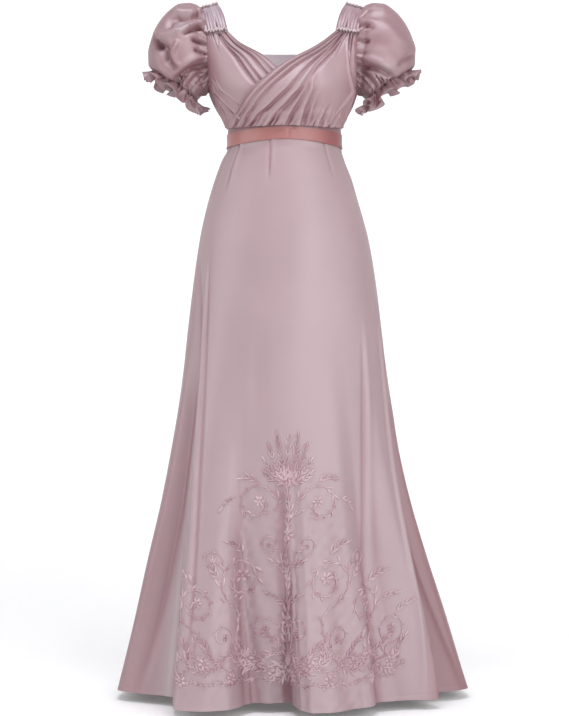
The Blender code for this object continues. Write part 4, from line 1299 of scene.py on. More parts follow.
def bodice_back(sizes, colours):
    """The back panel, cut straight across below the neck, with light gathers and a centre-back seam."""
    across, down = grid_of(BACK_ROWS, BACK_COLUMNS)
    first, last = SIDE_SEAM + SIDE_SEAM_GAP, 360.0 - SIDE_SEAM - SIDE_SEAM_GAP
    angle = first + across * (last - first)
    top = column(BACK_ARMHOLE, "angle", "height", np.minimum(angle, 360.0 - angle))
    height = top + down * (WAIST_SEAM + SEAM_GAP - top)
    relief = sizes.creases * panel_folds(BACK_FOLDS, across, down)
    relief += sizes.gathers * waist_puckers(across, down, BACK_PUCKERS, BACK_PUCKER_DEPTH)
    relief -= BACK_SEAM_DEPTH * bell((angle - 180.0) / BACK_SEAM_WIDTH)
    outer = raised(on_body(angle, height, 0 * angle)[:, ::-1], relief[:, ::-1], False)
    made, held_by = gown_satin(colours), ["waistband"]
    back = sew("satin_back", outer, False, sizes.cloth, "bodice_back", made, 0.0)
    line_inside(back, outer, False, gown_satin(colours, "Pale lining"))
    return back


def strap_length(sizes, colours, part, side, start, end, folds, columns):
    """A length of strap between two shares of the way over the shoulder, ruched along its length."""
    across, down = grid_of(STRAP_ROWS, columns)
    along = start + down * (end - start)
    relief = sizes.creases * panel_folds(folds, across, down)
    outer = raised(strap_points(along, across), relief + STRAP_RISE, False)
    # painted shade: the wearer's left strap darker, the right one paler, and the folds' troughs darker
    outer, tone = on_side(side, outer, STRAP_PAINTED_SHADE[side] - relief / STRAP_FOLD_SHADE_DEPTH)
    name, node, made = f"satin_strap_{part}_{side}", f"strap_{part}_{side}", gown_satin(colours, "Pale satin")
    return sew(name, outer, False, sizes.cloth, node, made, tone)


def elastic_gathers(turn):
    """The gathers that the elastic draws, the same on the sleeve's end and on the frill's start."""
    return ELASTIC_GATHER_DEPTH * pinched(uneven(turn / (2 * np.pi) * ELASTIC_GATHERS, ELASTIC_SWAY))


def underarm_ruches(points):
    """Fine ruches on the sunk part below the puff's under edge, square to the elastic."""
    edge_height = np.interp(points[..., 0], UNDER_EDGE_ACROSS, UNDER_EDGE_HEIGHTS)
    below = ease((edge_height - points[..., 2] - UNDERARM_START) / UNDERARM_FADE)
    along_elastic = points[..., 0] * ELASTIC_WAY[0] + points[..., 2] * ELASTIC_WAY[1]
    turns = uneven(along_elastic * UNDERARM_RUCHES, UNDERARM_SWAY)
    return (UNDERARM_RUCHE_DEPTH * np.sin(2 * np.pi * turns) - UNDERARM_INSET) * below


def sleeve_painted_shade(patches, points):
    """A puff's painted shade (painted light below 0): bells round places on the front view, less on its back.
    """
    away = [np.hypot(points[..., 0] - patch.x, points[..., 2] - patch.z) / patch.width for patch in patches]
    total = sum(patch.share * bell(far) for patch, far in zip(patches, away))
    return total * ease(-points[..., 1] / FACING_FADE)


def puff_form(turn, along, side):
    """The puff's plain form: nested rings, the first of them drawn on to the armhole."""
    centre = np.array([0.0, 0.0, ARMHOLE_CENTRE])
    seam = armhole_seam(turn, side) - np.array([ARMHOLE_LAP, 0.0, ARMHOLE_CENTRE])
    start = seam * np.array([1.0, ARMHOLE_SHRINK, ARMHOLE_SHRINK]) + centre
    join = 1 - ease(along / SLEEVE[1].along)
    return sleeve_form(SLEEVE, turn, along) + (start - sleeve_form(SLEEVE, turn, 0 * along)) * join[..., None]


def puff_sleeve(sizes, colours, side):
    """The puff: nested rings out from the armhole, crumpled, gathered at both ends."""
    turn, along = grid_of(PUFF_ROWS, np.linspace(0, 2 * np.pi, PUFF_COLUMNS, endpoint=False))
    base = puff_form(turn, along, side)
    relief = sleeve_creases(PUFFS[side], base, True) + sleeve_creases(BACK_PUFF, base, False)
    relief = (relief + underarm_ruches(base)) * sizes.creases
    grown = ease(along / ARMHOLE_GATHER_START) * bell((along - ARMHOLE_GATHER_START) / ARMHOLE_GATHER_LENGTH)
    armhole = pinched(uneven(turn / (2 * np.pi) * ARMHOLE_GATHERS, ARMHOLE_SWAY))
    relief += sizes.gathers * ARMHOLE_GATHER_DEPTH * armhole * grown
    relief *= 1 - ease((along - CALM_FROM) / CALM_LENGTH) * CALM_SHARE
    relief += sizes.gathers * elastic_gathers(turn) * ease_from(along, ELASTIC_FROM)
    # the puff's painted shade and painted light
    outer, tone = on_side(side, raised(base, relief, True), sleeve_painted_shade(PUFF_PAINTED_SHADES[side], base))
    name, node, made = f"satin_puff_{side}", f"sleeve_{side}", gown_satin(colours, "Deep satin")
    return sew(name, outer, True, sizes.cloth, node, made, tone)


def frill(sizes, colours, side):
    """The frill below the elastic: flutes that swing out, lean sideways and dip, growing to its edge."""
    turn, along = grid_of(FRILL_ROWS, np.linspace(0, 2 * np.pi, FRILL_COLUMNS, endpoint=False))
    base = sleeve_form(FRILL, turn, along)
    around = unit(np.roll(base, -1, axis=1) - np.roll(base, 1, axis=1))
    phase = FRILL_PHASES[side]
    turns = turn / (2 * np.pi) * FRILL_WAVES + phase
    turns = turns + FRILL_UNEVEN * np.sin(turn * 2 + 3 * phase) + FRILL_UNEVEN * 0.6 * np.sin(turn * 5 + 1.0)
    big = 1 + FRILL_VARIES * np.sin(turn * 3 + 9 * phase + 0.6)
    grown = along**FRILL_GROWTH * sizes.frill * big
    out = grown * (np.cos(2 * np.pi * turns) + FRILL_DOUBLE * np.cos(4 * np.pi * turns + 1.1))
    out += sizes.gathers * elastic_gathers(turn) * (1 - along) ** 2
    lean = grown * FRILL_LEAN * np.sin(4 * np.pi * turns)
    outer = base + outward(base, True) * out[..., None] + around * lean[..., None]
    outer[..., 2] += grown * FRILL_DIP * np.sin(np.pi * turns + 0.8)
    underarm = ease_from(-np.cos(turn), FRILL_UNDERARM) * along
    outer -= underarm[..., None] * np.array([FRILL_INWARDS, 0.0, FRILL_LONGER])
    # painted light on the flutes' crests and painted shade in their troughs, growing towards the edge
    outer, tone = on_side(side, outer, FRILL_PAINTED_LIGHT - FRILL_FLUTE_SHADING * np.cos(2 * np.pi * turns) * along)
    name, node, made = f"satin_frill_{side}", f"sleeve_frill_{side}", gown_satin(colours, "Deep satin")
    return sew(name, outer, True, sizes.cloth, node, made, tone)


def band_grid(rows, columns):
    """Shares down, and angles round the body that run so that the grid faces out."""
    across, down = grid_of(rows, np.linspace(0, 1, columns, endpoint=False))
    return down, 180.0 - 360.0 * across


def waistband(sizes, colours):
    """The plain band that bodice and skirt are sewn to, stitched along both edges."""
    down, angle = band_grid(BAND_ROWS, BAND_COLUMNS)
    height = WAIST_SEAM + down * (SKIRT_SEAM - WAIST_SEAM)
    stitched = bell((down - BAND_STITCH) / STITCH_WIDTH) + bell((down - 1 + BAND_STITCH) / STITCH_WIDTH)
    outer, made = on_body(angle, height, -BAND_GROOVE * stitched), gown_satin(colours)
    # painted shade over the whole band
    return sew("satin_waistband", outer, True, sizes.cloth, "waistband", made, BAND_PAINTED_SHADE)


def waist_ribbon(colours):
    """The ribbon belt: slightly thicker edges, a soft unevenness and a crease at centre front."""
    down, angle = band_grid(RIBBON_ROWS, RIBBON_COLUMNS)
    arch = bump(angle / RIBBON_ARCH_WIDTH, 0.0)
    top = RIBBON_TOP - RIBBON_TOP_ARCH * (1 - arch)
    height = top + down * (RIBBON_FOOT + RIBBON_ARCH * arch - top)
    lips = bell(down / RIBBON_LIP_WIDTH) + bell((1 - down) / RIBBON_LIP_WIDTH)
    lift = RIBBON_CLEAR + RIBBON_THICKNESS + RIBBON_LIP * lips
    lift += RIBBON_SOFT * np.sin(np.radians(angle) * 7 + 3 * down) * np.sin(np.pi * down)
    lift -= RIBBON_CREASE_DEPTH * bell((angle - RIBBON_CREASE) / RIBBON_CREASE_WIDTH) * np.sin(np.pi * down)
    # painted shade beside the centre crease and a painted shadow towards the wearer's left side
    tone = RIBBON_CREASE_SHADE * bell((angle - RIBBON_CREASE_SHADE_AT) / RIBBON_CREASE_SHADE_WIDTH)
    tone = tone + RIBBON_END_PAINTED_SHADE * bell((angle - RIBBON_END) / RIBBON_END_WIDTH)
    outer, made = on_body(angle, height, lift), satin("Rose ribbon", tuple(colours.ribbon), RIBBON_FINISH)
    name, node, held_by = "ribbon_belt", "waist_ribbon", ["waistband"]
    return sew(name, outer, True, RIBBON_THICKNESS, node, made, tone)


# ---- pearls ----
BEAD_RINGS = 7
BEAD_SIDES = 10
STRAP_STEP = 0.004
TRIM_OVERHANG = 0.02
TAPE_SHARE = 0.75
TAPE_THICKNESS = 0.0009
TAPE_ROWS = 5
TAPE_COLUMNS = 24
PEARL_PITCH = 1.30
PEARL_JITTER = 0.14
PEARL_STRAY = 0.22
PEARL_START = 0.25
PEARL_UNEVEN = (0.86, 1.08)
PEARL_ROWS = table(
    "name off shift size lift",
    ("lower", -0.62, 0.0, 1.0, 0.8),
    ("upper", 0.58, 0.5, 0.94, 0.8),
    ("seed", 0.0, 0.25, 0.42, 2.6),
    ("seed between", 0.05, 0.75, 0.40, 2.4),
)
PEARL_SEEDS = {"front": 11, "shoulder": 23}


def round_bead():
    """Points and faces of a unit ball: rings of points between two poles."""
    polar = np.pi * np.arange(1, BEAD_RINGS) / BEAD_RINGS
    turn = 2 * np.pi * np.arange(BEAD_SIDES) / BEAD_SIDES
    ring = np.stack(
        [
            np.outer(np.sin(polar), np.cos(turn)),
            np.outer(np.sin(polar), np.sin(turn)),
            np.outer(np.cos(polar), np.ones(BEAD_SIDES)),
        ],
        axis=-1,
    ).reshape(-1, 3)
    points = np.concatenate([[[0.0, 0.0, 1.0]], ring, [[0.0, 0.0, -1.0]]])
    index = 1 + np.arange((BEAD_RINGS - 1) * BEAD_SIDES).reshape(BEAD_RINGS - 1, BEAD_SIDES)
    index = ring_closed(index)
    quads = np.stack([index[:-1, :-1], index[1:, :-1], index[1:, 1:], index[:-1, 1:]], axis=-1)
    foot = len(points) - 1
    top_cap = np.stack([0 * index[0, :-1], index[0, :-1], index[0, 1:]], axis=-1)
    foot_cap = np.stack([foot + 0 * index[-1, :-1], index[-1, 1:], index[-1, :-1]], axis=-1)
    return points, quads.reshape(-1, 4), np.concatenate([top_cap, foot_cap])


def on_strap(along, across, lift):
    """Points of the strap's band, raised by lift along its normal."""
    forward, over = slopes(strap_points, along, across, STRAP_STEP, STRAP_STEP)
    return strap_points(along, across) + unit(np.cross(over, forward)) * np.asarray(lift)[..., None]


def pearl_trim(sizes, colours, place, along, side):
    """A narrow tape across the strap with staggered pearls, and seed beads between them."""
    half = TRIM_HEIGHT / 2 / STRAP_LENGTH
    across, down = grid_of(TAPE_ROWS, TAPE_COLUMNS)
    shares = -TRIM_OVERHANG + across * (1 + 2 * TRIM_OVERHANG)
    tape_rise = TRIM_CLEAR + TAPE_THICKNESS
    tape = on_strap(along + half * (2 * down - 1) * TAPE_SHARE, shares, tape_rise + 0 * across)
    radius = sizes.pearl / 2
    count = int(gaps(tape[TAPE_ROWS // 2], 0).sum() / (sizes.pearl * PEARL_PITCH))
    draw = np.random.default_rng(PEARL_SEEDS[place] + (side == "right"))
    centres, radii = [], []
    for row in PEARL_ROWS:
        share = (np.arange(count) + PEARL_START + row.shift) / count
        share = share + draw.uniform(-PEARL_JITTER, PEARL_JITTER, count) / count
        radii.append(radius * row.size * draw.uniform(*PEARL_UNEVEN, count))
        off = along + half * (row.off + draw.uniform(-PEARL_STRAY, PEARL_STRAY, count))
        centres.append(on_strap(off, share, tape_rise + radii[-1] * row.lift))
    centres, radii = np.concatenate(centres), np.concatenate(radii)
    ball, quads, caps = round_bead()
    points = (centres[:, None] + ball[None] * radii[:, None, None]).reshape(-1, 3)
    if side == "right":
        tape, points = mirrored(tape), points * np.array([-1.0, 1.0, 1.0])
        quads, caps = quads[:, ::-1], caps[:, ::-1]
    first = len(ball) * np.arange(len(centres))[:, None, None]
    polygons = [(quads[None] + first).reshape(-1, 4), (caps[None] + first).reshape(-1, 3)]
    uv = np.zeros((sum(faces.size for faces in polygons), 2))
    beads = build_mesh(f"pearls_{place}_{side}", points, polygons, uv)
    node = f"pearl_trim_{place}_{side}"
    dress(beads, [node], bpy.data.materials.get("Pearl") or pearl("Pearl", tuple(colours.pearl)))
    tape_piece = cloth_wall(f"tape_{place}_{side}", tape, False, TAPE_THICKNESS)
    return dress(tape_piece, [node], gown_satin(colours))


# ---- embroidery: vines, scrolls, leaves and flowers, as length across the skirt and height ----
SCROLLS = table(
    "name across height size turns start leaves",
    ("arch", 0.064, -1.006, 0.044, -1.12, -1.45, 13),
    ("upper", 0.040, -1.080, 0.021, 1.15, -2.9, 6),
    ("middle", 0.096, -1.152, 0.050, 1.50, 2.6, 15),
    ("over", 0.160, -1.112, 0.022, -1.10, -1.9, 6),
    ("outer", 0.190, -1.200, 0.042, 1.40, 2.6, 13),
    ("low", 0.048, -1.246, 0.031, -1.20, -2.6, 9),
    ("between", 0.142, -1.256, 0.025, -1.15, -2.6, 7),
    ("side", 0.268, -1.252, 0.033, 1.25, 2.6, 9),
)
SPRIGS = table(
    "name across height lean length curl leaves",
    ("bouquet inner", 0.004, -0.958, 0.24, 0.084, -0.10, 9),
    ("bouquet middle", 0.007, -0.960, 0.52, 0.068, -0.20, 8),
    ("bouquet outer", 0.010, -0.962, 0.86, 0.050, -0.30, 6),
    ("bouquet foot", 0.008, -0.966, 1.35, 0.040, -0.60, 5),
    ("stem high", 0.003, -1.140, 0.60, 0.040, 0.5, 4),
    ("stem middle", 0.003, -1.200, 0.80, 0.042, 0.4, 4),
    ("stem low", 0.003, -1.282, 0.85, 0.056, 0.4, 6),
    ("stem foot", 0.003, -1.338, 1.15, 0.070, 0.4, 7),
    ("first", 0.080, -1.306, 0.10, 0.040, 0.6, 5),
    ("second", 0.112, -1.300, -0.35, 0.042, 0.6, 5),
    ("third", 0.166, -1.300, 0.20, 0.050, 0.6, 6),
    ("fourth", 0.216, -1.308, -0.20, 0.040, 0.6, 5),
    ("fifth", 0.236, -1.308, 0.45, 0.052, 0.5, 6),
    ("sixth", 0.292, -1.312, 0.05, 0.044, 0.4, 5),
    ("over the arch", 0.060, -0.960, 0.90, 0.030, 0.9, 3),
    ("beside the arch", 0.104, -0.992, 1.70, 0.034, 0.8, 4),
    ("over the middle scroll", 0.090, -1.100, 0.50, 0.040, 0.9, 5),
    ("beside the middle scroll", 0.146, -1.146, 0.75, 0.034, -0.8, 4),
    ("over the outer scroll", 0.200, -1.158, 0.55, 0.036, 0.8, 4),
    ("beside the outer scroll", 0.232, -1.196, 0.90, 0.034, 0.5, 4),
    ("over the side scroll", 0.276, -1.219, 0.45, 0.030, 0.8, 4),
)
FANS = table(
    "name height count spread length width",
    ("cup", -0.966, 6, 1.30, 0.028, 0.0085),
    ("foot", -1.330, 7, 2.60, 0.038, 0.0095),
)
STEM_FOOT = -1.356
STEM_TOP = -0.866
STEM_LEAF_PAIRS = 32
STEM_SWAY = 0.0035
STEM_WAVE = 0.15
STEM_FLOWERS = (-0.958, -1.060, -1.140, -1.232, -1.330)  # heights
STEM_FLOWERS_ACROSS = 0.002
FLOWER_TURNS = 9  # radians a metre up the stem
FAN_HEART = 0.006
FAN_SHORTER = 0.42  # how much shorter the outermost leaves are
FAN_FALL = 1.4
BORDER_HEIGHT = -1.306
BORDER_SWING = 0.015
BORDER_WAVE = 0.104  # metres from crest to crest
BORDER_START = 0.004
BORDER_REACH = 0.318
BAY_DEPTH = 0.014
BORDER_FALL = 0.10
BORDER_FALLS_FROM = 0.2
GARLAND_HEIGHT = -1.338
GARLAND_SAG = 0.010
GARLAND_REACH = BORDER_REACH * 0.96
GARLAND_PAIRS = 34
MAP_ROWS = 60
MAP_COLUMNS = 400
MAP_TURN = 85.0
MAP_REACH = 0.36
MAP_EDGE = 1.001  # keeps a place inside the last cell
LEAF_POINTS = 6
LEAF_HEIGHT = 0.0021
LEAF_ROOT = 0.6  # the smaller, the sooner a leaf swells
LEAF_TIP = 0.75  # the smaller, the blunter its end
LEAF_FULL = 2.4
LEAF_THINNEST = 0.06
STEM_HEIGHT = 0.0017
STEM_STARTS = 14  # a stem widens over 1/14 of its length
STEM_ENDS = 5  # and narrows over its last fifth
STEM_THINNEST = 0.12
STEM = 0.0027  # widths of stems
MIDDLE_STEM = 1.2 * STEM
BORDER_STEM = 1.1 * STEM
FINE_STEM = 0.0020
STEM_POINTS = 70
LINK_POINTS = 22
Foliage = namedtuple("Foliage", "length width first spread")
STEM_LEAVES = Foliage(0.0215, 0.0068, 0.01, 0.70)
SPRAY_LEAVES = Foliage(0.0165, 0.0056, 0.12, 0.75)
SCROLL_LEAVES = Foliage(0.36, 0.125, 0.02, 0.80)  # sizes as shares of the scroll's
LINK_LEAVES = Foliage(0.0150, 0.0052, 0.06, 0.80)
BORDER_LEAVES = Foliage(0.0165, 0.0056, 0.01, 0.95)
LOW_LEAVES = Foliage(0.0125, 0.0048, 0.01, 0.85)
GARLAND_LEAVES = Foliage(0.0110, 0.0042, 0.01, 0.70)
BORDERS = table(
    "way width leaves foliage",
    (1, BORDER_STEM, 38, BORDER_LEAVES),
    (-1, FINE_STEM, 34, LOW_LEAVES),
)
LAST_LEAF = 0.97
LEAVES_SHRINK = 0.35
LEAF_CURL = 0.7
LEAF_SIZES = (0.65, 1.30)
LEAF_TURNS = (0.8, 1.2)
PETALS = 6
FLOWER_HEART = 0.22  # lengths and widths as shares of the radius
PETAL_LENGTH = 0.82
PETAL_WIDTH = 0.60
PETAL_TURN = 0.25
PETAL_CURL = 0.5
KNOT_LENGTH = 0.44
KNOT_WIDTH = 0.40
STEM_FLOWER = 0.0140  # radii of flowers
BORDER_FLOWER = 0.0125
SCROLL_FLOWER = 0.27  # a share of the scroll's size
SCROLL_POINTS = 40
SCROLL_SHRINK = 0.8
BORDER_POINTS = 70
ARM_POINTS = 26
MOTIF_SUNK = 0.0006
MOTIF_LIFT = 0.0002
MOTIF_EDGE = 0.002  # the UV at a motif's edge, as a length from its middle line
EMBROIDERY_SEED = 5
MOTIF_SECTION = table(
    "across rise",
    (-1.0, 0.0),
    (-0.45, 0.9),
    (0.45, 0.9),
    (1.0, 0.0),
)
LINKS = table(
    "name x0 z0 x1 z1 swing leaves",
    ("arch to stem", 0.002, -1.046, 0.021, -1.000, -0.22, 5),
    ("upper to stem", 0.002, -1.112, 0.036, -1.098, 0.25, 5),
    ("middle to border", 0.084, -1.292, 0.122, -1.195, 0.16, 10),
    ("over to middle", 0.136, -1.128, 0.140, -1.118, 0.20, 2),
    ("outer to border", 0.184, -1.300, 0.212, -1.237, 0.16, 7),
    ("low to stem", 0.002, -1.290, 0.032, -1.272, 0.25, 5),
    ("between to border", 0.110, -1.308, 0.129, -1.278, 0.20, 4),
    ("side to border", 0.254, -1.312, 0.285, -1.280, 0.20, 5),
)


def cloth_map():
    """Angles on the skirt for a level length across it from the embroidery's middle, and a height."""
    heights = np.linspace(EMBROIDERY_TOP, HEM, MAP_ROWS)
    angles = np.linspace(EMBROIDERY_CENTRE - MAP_TURN, EMBROIDERY_CENTRE + MAP_TURN, MAP_COLUMNS)
    height, angle = np.meshgrid(heights, angles, indexing="ij")
    across, _ = runs(skirt_form(angle, height), False)
    lengths = np.linspace(-MAP_REACH, MAP_REACH, MAP_COLUMNS)
    return np.array([np.interp(lengths, row, angles) for row in across])


def on_skirt(angles, across, height, lift, strength):
    """Points of the embroidery: its length across and height found on the skirt, raised by lift."""
    row = (EMBROIDERY_TOP - height) / (EMBROIDERY_TOP - HEM) * (MAP_ROWS - 1)
    place = (across + MAP_REACH) / (2 * MAP_REACH) * (MAP_COLUMNS - 1)
    row, place = np.clip(row, 0, MAP_ROWS - MAP_EDGE), np.clip(place, 0, MAP_COLUMNS - MAP_EDGE)
    r, c = row.astype(int), place.astype(int)
    down, over = row - r, place - c
    upper = angles[r, c] * (1 - over) + angles[r, c + 1] * over
    lower = angles[r + 1, c] * (1 - over) + angles[r + 1, c + 1] * over
    angle = upper * (1 - down) + lower * down
    cloth = partial(skirt_cloth, strength=strength)
    level, upright = slopes(cloth, angle, height, ANGLE_STEP, HEIGHT_STEP)
    return cloth(angle, height) + unit(np.cross(level, upright)) * lift[..., None]


def heading(bearing):
    """A unit step on the cloth: 0 is upright, and a bearing grows to the right."""
    return np.stack([np.sin(bearing), np.cos(bearing)], axis=-1)


def curl_line(root, bearing, length, curl, count):
    """A line that starts at root on a bearing and turns steadily by curl over its length."""
    share = (np.arange(count - 1) + 0.5) / (count - 1)
    return np.asarray(root) + totals(heading(bearing + curl * share) * length / (count - 1))


def leaf(root, bearing, length, width, curl=0.6):
    """A leaf: a curved line that swells to its width a third of the way and ends in a point."""
    line = curl_line(root, bearing, length, curl, LEAF_POINTS)
    share = np.linspace(0, 1, LEAF_POINTS)
    swell = share**LEAF_ROOT * (1 - share) ** LEAF_TIP * LEAF_FULL
    return line, width / 2 * np.clip(swell, LEAF_THINNEST, None), LEAF_HEIGHT


def stem(line, width):
    """A stem of even width that narrows over its last part at each end."""
    share = np.linspace(0, 1, len(line))
    taper = np.clip(np.minimum(share * STEM_STARTS, (1 - share) * STEM_ENDS), STEM_THINNEST, 1.0)
    return line, width / 2 * taper, STEM_HEIGHT


def flower(centre, radius, turn):
    """A flower: petals round a centre, with a knot of thread in its middle."""
    made = []
    centre, heart = np.asarray(centre), radius * FLOWER_HEART
    for bearing in turn + 2 * np.pi * np.arange(PETALS) / PETALS:
        root = centre + heading(bearing) * radius * FLOWER_HEART
        made.append(leaf(root, bearing - PETAL_TURN, radius * PETAL_LENGTH, radius * PETAL_WIDTH, PETAL_CURL))
    made.append(leaf(centre - [0.0, heart], 0.0, radius * KNOT_LENGTH, radius * KNOT_WIDTH, 0.0))
    return made


def leafy(line, count, foliage, draw, both=True, scale=1.0):
    """Leaves along a stem, turned out from it by spread, alternately or in pairs, with a little chance."""
    made = []
    way = np.gradient(line, axis=0)
    bearings = np.unwrap(np.arctan2(way[:, 0], way[:, 1]))
    length, width = foliage.length * scale, foliage.width * scale
    for k in range(count):
        share = foliage.first + (LAST_LEAF - foliage.first) * k / max(count - 1, 1)
        at = share * (len(line) - 1)
        i, part = int(at), at - int(at)
        root = line[i] * (1 - part) + line[min(i + 1, len(line) - 1)] * part
        size = (1 - LEAVES_SHRINK * share) * draw.uniform(*LEAF_SIZES)
        for hand in (-1, 1) if both else (-1, 1)[k % 2 :][:1]:
            turned = bearings[i] + hand * foliage.spread * draw.uniform(*LEAF_TURNS)
            made.append(leaf(root, turned, length * size, width * size, -hand * LEAF_CURL))
    return made


def spray(row, draw, width):
    """A curved stem with pairs of leaves and a leaf at its tip."""
    line = curl_line((row.across, row.height), row.lean, row.length, row.curl, ARM_POINTS)
    made = [stem(line, width), *leafy(line, row.leaves, SPRAY_LEAVES, draw)]
    made.append(leaf(line[-1], row.lean + row.curl, SPRAY_LEAVES.length, SPRAY_LEAVES.width, 0.0))
    return made


def scroll_line(scroll):
    """A spiral: its radius shrinks steadily to a fifth as it turns inwards."""
    share = np.linspace(0, 1, SCROLL_POINTS)
    radius = scroll.size * (1 - SCROLL_SHRINK * share)
    turn = scroll.start - 2 * np.pi * scroll.turns * share
    across = scroll.across + radius * np.sin(turn)
    height = scroll.height + radius * np.cos(turn)
    return np.stack([across, height], axis=-1)


def s_curve(link):
    """A line between two points that swings out one way and then the other."""
    share = np.linspace(0, 1, LINK_POINTS)[:, None]
    start = np.array([link.x0, link.z0])
    way = np.array([link.x1, link.z1]) - start
    side = np.array([way[1], -way[0]])
    return start + way * share + side * link.swing * np.sin(2 * np.pi * share)


def borders(draw):
    """Two leafy stems that cross like waves, with flowers in their bays, and a garland below them."""
    made = []
    across = np.linspace(BORDER_START, BORDER_REACH, BORDER_POINTS)
    swing = BORDER_SWING * np.sin(2 * np.pi * across / BORDER_WAVE)
    fall = BORDER_FALL * np.maximum(across - BORDER_FALLS_FROM, 0)
    for border in BORDERS:
        line = np.stack([across, BORDER_HEIGHT + border.way * swing - fall], axis=-1)
        made += [stem(line, border.width), *leafy(line, border.leaves, border.foliage, draw)]
    for crest in np.arange(0.25, BORDER_REACH / BORDER_WAVE, 0.5):
        at = np.interp(crest * BORDER_WAVE, line[:, 0], line[:, 1])
        away = -1 if round(crest * 2) % 2 else 1
        made += flower((crest * BORDER_WAVE, at - away * BAY_DEPTH), BORDER_FLOWER, crest)
    across = np.linspace(0.0, GARLAND_REACH, BORDER_POINTS)
    sag = GARLAND_SAG * np.abs(np.sin(np.pi * across / (BORDER_WAVE / 2)))
    garland = np.stack([across, GARLAND_HEIGHT - sag * (1 - across / 0.5)], axis=-1)
    return made + [stem(garland, FINE_STEM), *leafy(garland, GARLAND_PAIRS, GARLAND_LEAVES, draw)]


def one_side(draw):
    """The motifs of the right half: scrolls with leaves, sprays, links and half of the borders."""
    made = []
    for scroll in SCROLLS:
        line = scroll_line(scroll)
        made += [stem(line, STEM), *leafy(line, scroll.leaves, SCROLL_LEAVES, draw, scale=scroll.size)]
        made += flower(line[-1], scroll.size * SCROLL_FLOWER, scroll.start)
    for row in SPRIGS:
        made += spray(row, draw, FINE_STEM)
    for link in LINKS:
        line = s_curve(link)
        made += [stem(line, STEM), *leafy(line, link.leaves, LINK_LEAVES, draw, both=False)]
    return made + borders(draw)


def centre_column(draw):
    """The motifs on the middle line: a leafy stem, two fans of leaves with a flower, and buds."""
    height = np.linspace(STEM_FOOT, STEM_TOP, STEM_POINTS)
    sway = STEM_SWAY * np.sin(2 * np.pi * (height - STEM_FOOT) / STEM_WAVE)
    line = np.stack([sway, height], axis=-1)
    made = [stem(line, MIDDLE_STEM), *leafy(line, STEM_LEAF_PAIRS, STEM_LEAVES, draw)]
    for fan in FANS:
        for turn in np.linspace(-1.0, 1.0, fan.count):
            root = np.array([0.0, fan.height]) + heading(turn * fan.spread) * FAN_HEART
            length = fan.length * (1 - FAN_SHORTER * abs(turn) ** FAN_FALL)
            made.append(leaf(root, turn * fan.spread, length, fan.width, 0.5 * turn))
    for height in STEM_FLOWERS:
        made += flower((STEM_FLOWERS_ACROSS, height), STEM_FLOWER, height * FLOWER_TURNS)
    return made


def motif_mesh(motifs, strength, relief):
    """Points, polygons and UVs of all motifs, each a domed strip on the skirt with a closed underside."""
    angles = cloth_map()
    points, quads, caps, uvs = [], [], [], []
    offset = 0
    section = np.array([step.across for step in MOTIF_SECTION])
    dome = np.array([step.rise for step in MOTIF_SECTION])
    for count in sorted({len(motif[0]) for motif in motifs}):
        same = [motif for motif in motifs if len(motif[0]) == count]
        line, half, rise = (np.array(values) for values in zip(*same))
        way = unit(np.gradient(line, axis=1))
        side = np.stack([way[..., 1], -way[..., 0]], axis=-1)
        flat = line[:, :, None] + side[:, :, None] * (half[..., None] * section)[..., None]
        fullness = np.sqrt(half / half.max(axis=1, keepdims=True))[..., None]
        rise = rise[:, None, None] * relief
        lift = dome * rise * fullness + MOTIF_LIFT - MOTIF_SUNK * (dome <= 0)
        made = on_skirt(angles, flat[..., 0], flat[..., 1], lift + 0 * flat[..., 0], strength)
        index = offset + np.arange(made[..., 0].size).reshape(flat.shape[:3])
        quads.append(grid_quads(np.concatenate([index, index[:, :, :1]], axis=2)))
        caps += [index[:, 0, ::-1], index[:, -1]]
        run = totals(gaps(line, 1), axis=1)
        uv = np.stack(np.broadcast_arrays(section * MOTIF_EDGE, run[..., None]), axis=-1)
        points.append(made.reshape(-1, 3))
        uvs.append(uv.reshape(-1, 2))
        offset += made[..., 0].size
    polygons = [np.concatenate(quads), np.concatenate(caps)]
    corners = np.concatenate([faces.reshape(-1) for faces in polygons])
    return np.concatenate(points), polygons, np.concatenate(uvs)[corners]


def embroidery(sizes, colours):
    """The embroidery on the skirt front: a middle column, and a mirrored half on each side."""
    draw = np.random.default_rng(EMBROIDERY_SEED)
    motifs = centre_column(draw)
    for hand in (1.0, -1.0):
        for line, half, rise in one_side(draw):
            motifs.append((line * np.array([hand, 1.0]), half, rise))
    piece = build_mesh("embroidery", *motif_mesh(motifs, sizes.creases, sizes.embroidery))
    piece.data.materials.append(thread("Silk thread", tuple(colours.thread)))
    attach(piece, "root")
    return piece


# ---- stage ----
FLOOR = -1.412
BACKDROP_FRONT = 4.2
BACKDROP_HALF = 6.0
BACKDROP_RADIUS = 0.7
BACKDROP_TOP = 4.5
BACKDROP_BEND_POINTS = 24
AIM = (0.0, 0.0, -0.70)
SOFTBOXES = table(
    "name setting share x y z width height colour",
    ("Key", "key", 1.0, 2.0, -3.0, 0.4, 2.2, 2.4, (1.0, 1.0, 1.0)),
    ("Left", "side", 1.30, -3.3, -1.3, 0.2, 2.2, 2.4, (1.0, 1.0, 1.0)),
    ("Right", "side", 0.66, 3.3, -1.3, 0.2, 2.2, 2.4, (1.0, 1.0, 1.0)),
    ("Top", "top", 1.0, -0.1, -1.2, 1.9, 1.8, 1.4, (0.93, 0.95, 1.0)),
    ("Low", "low", 1.0, 0.0, -3.2, -1.2, 2.2, 1.2, (1.0, 1.0, 1.0)),
)
SENSOR = 24.0
CAMERA_DISTANCE = 3.2
CAMERA_ACROSS = 0.0057
CAMERA_HEIGHT = -0.723
VIEW_HEIGHT = 1.4535
PAPER_GRAIN = 40.0  # a metre
PAPER_DARKER = 0.985
ROOM_COLOUR = (1.0, 0.99, 0.995, 1.0)


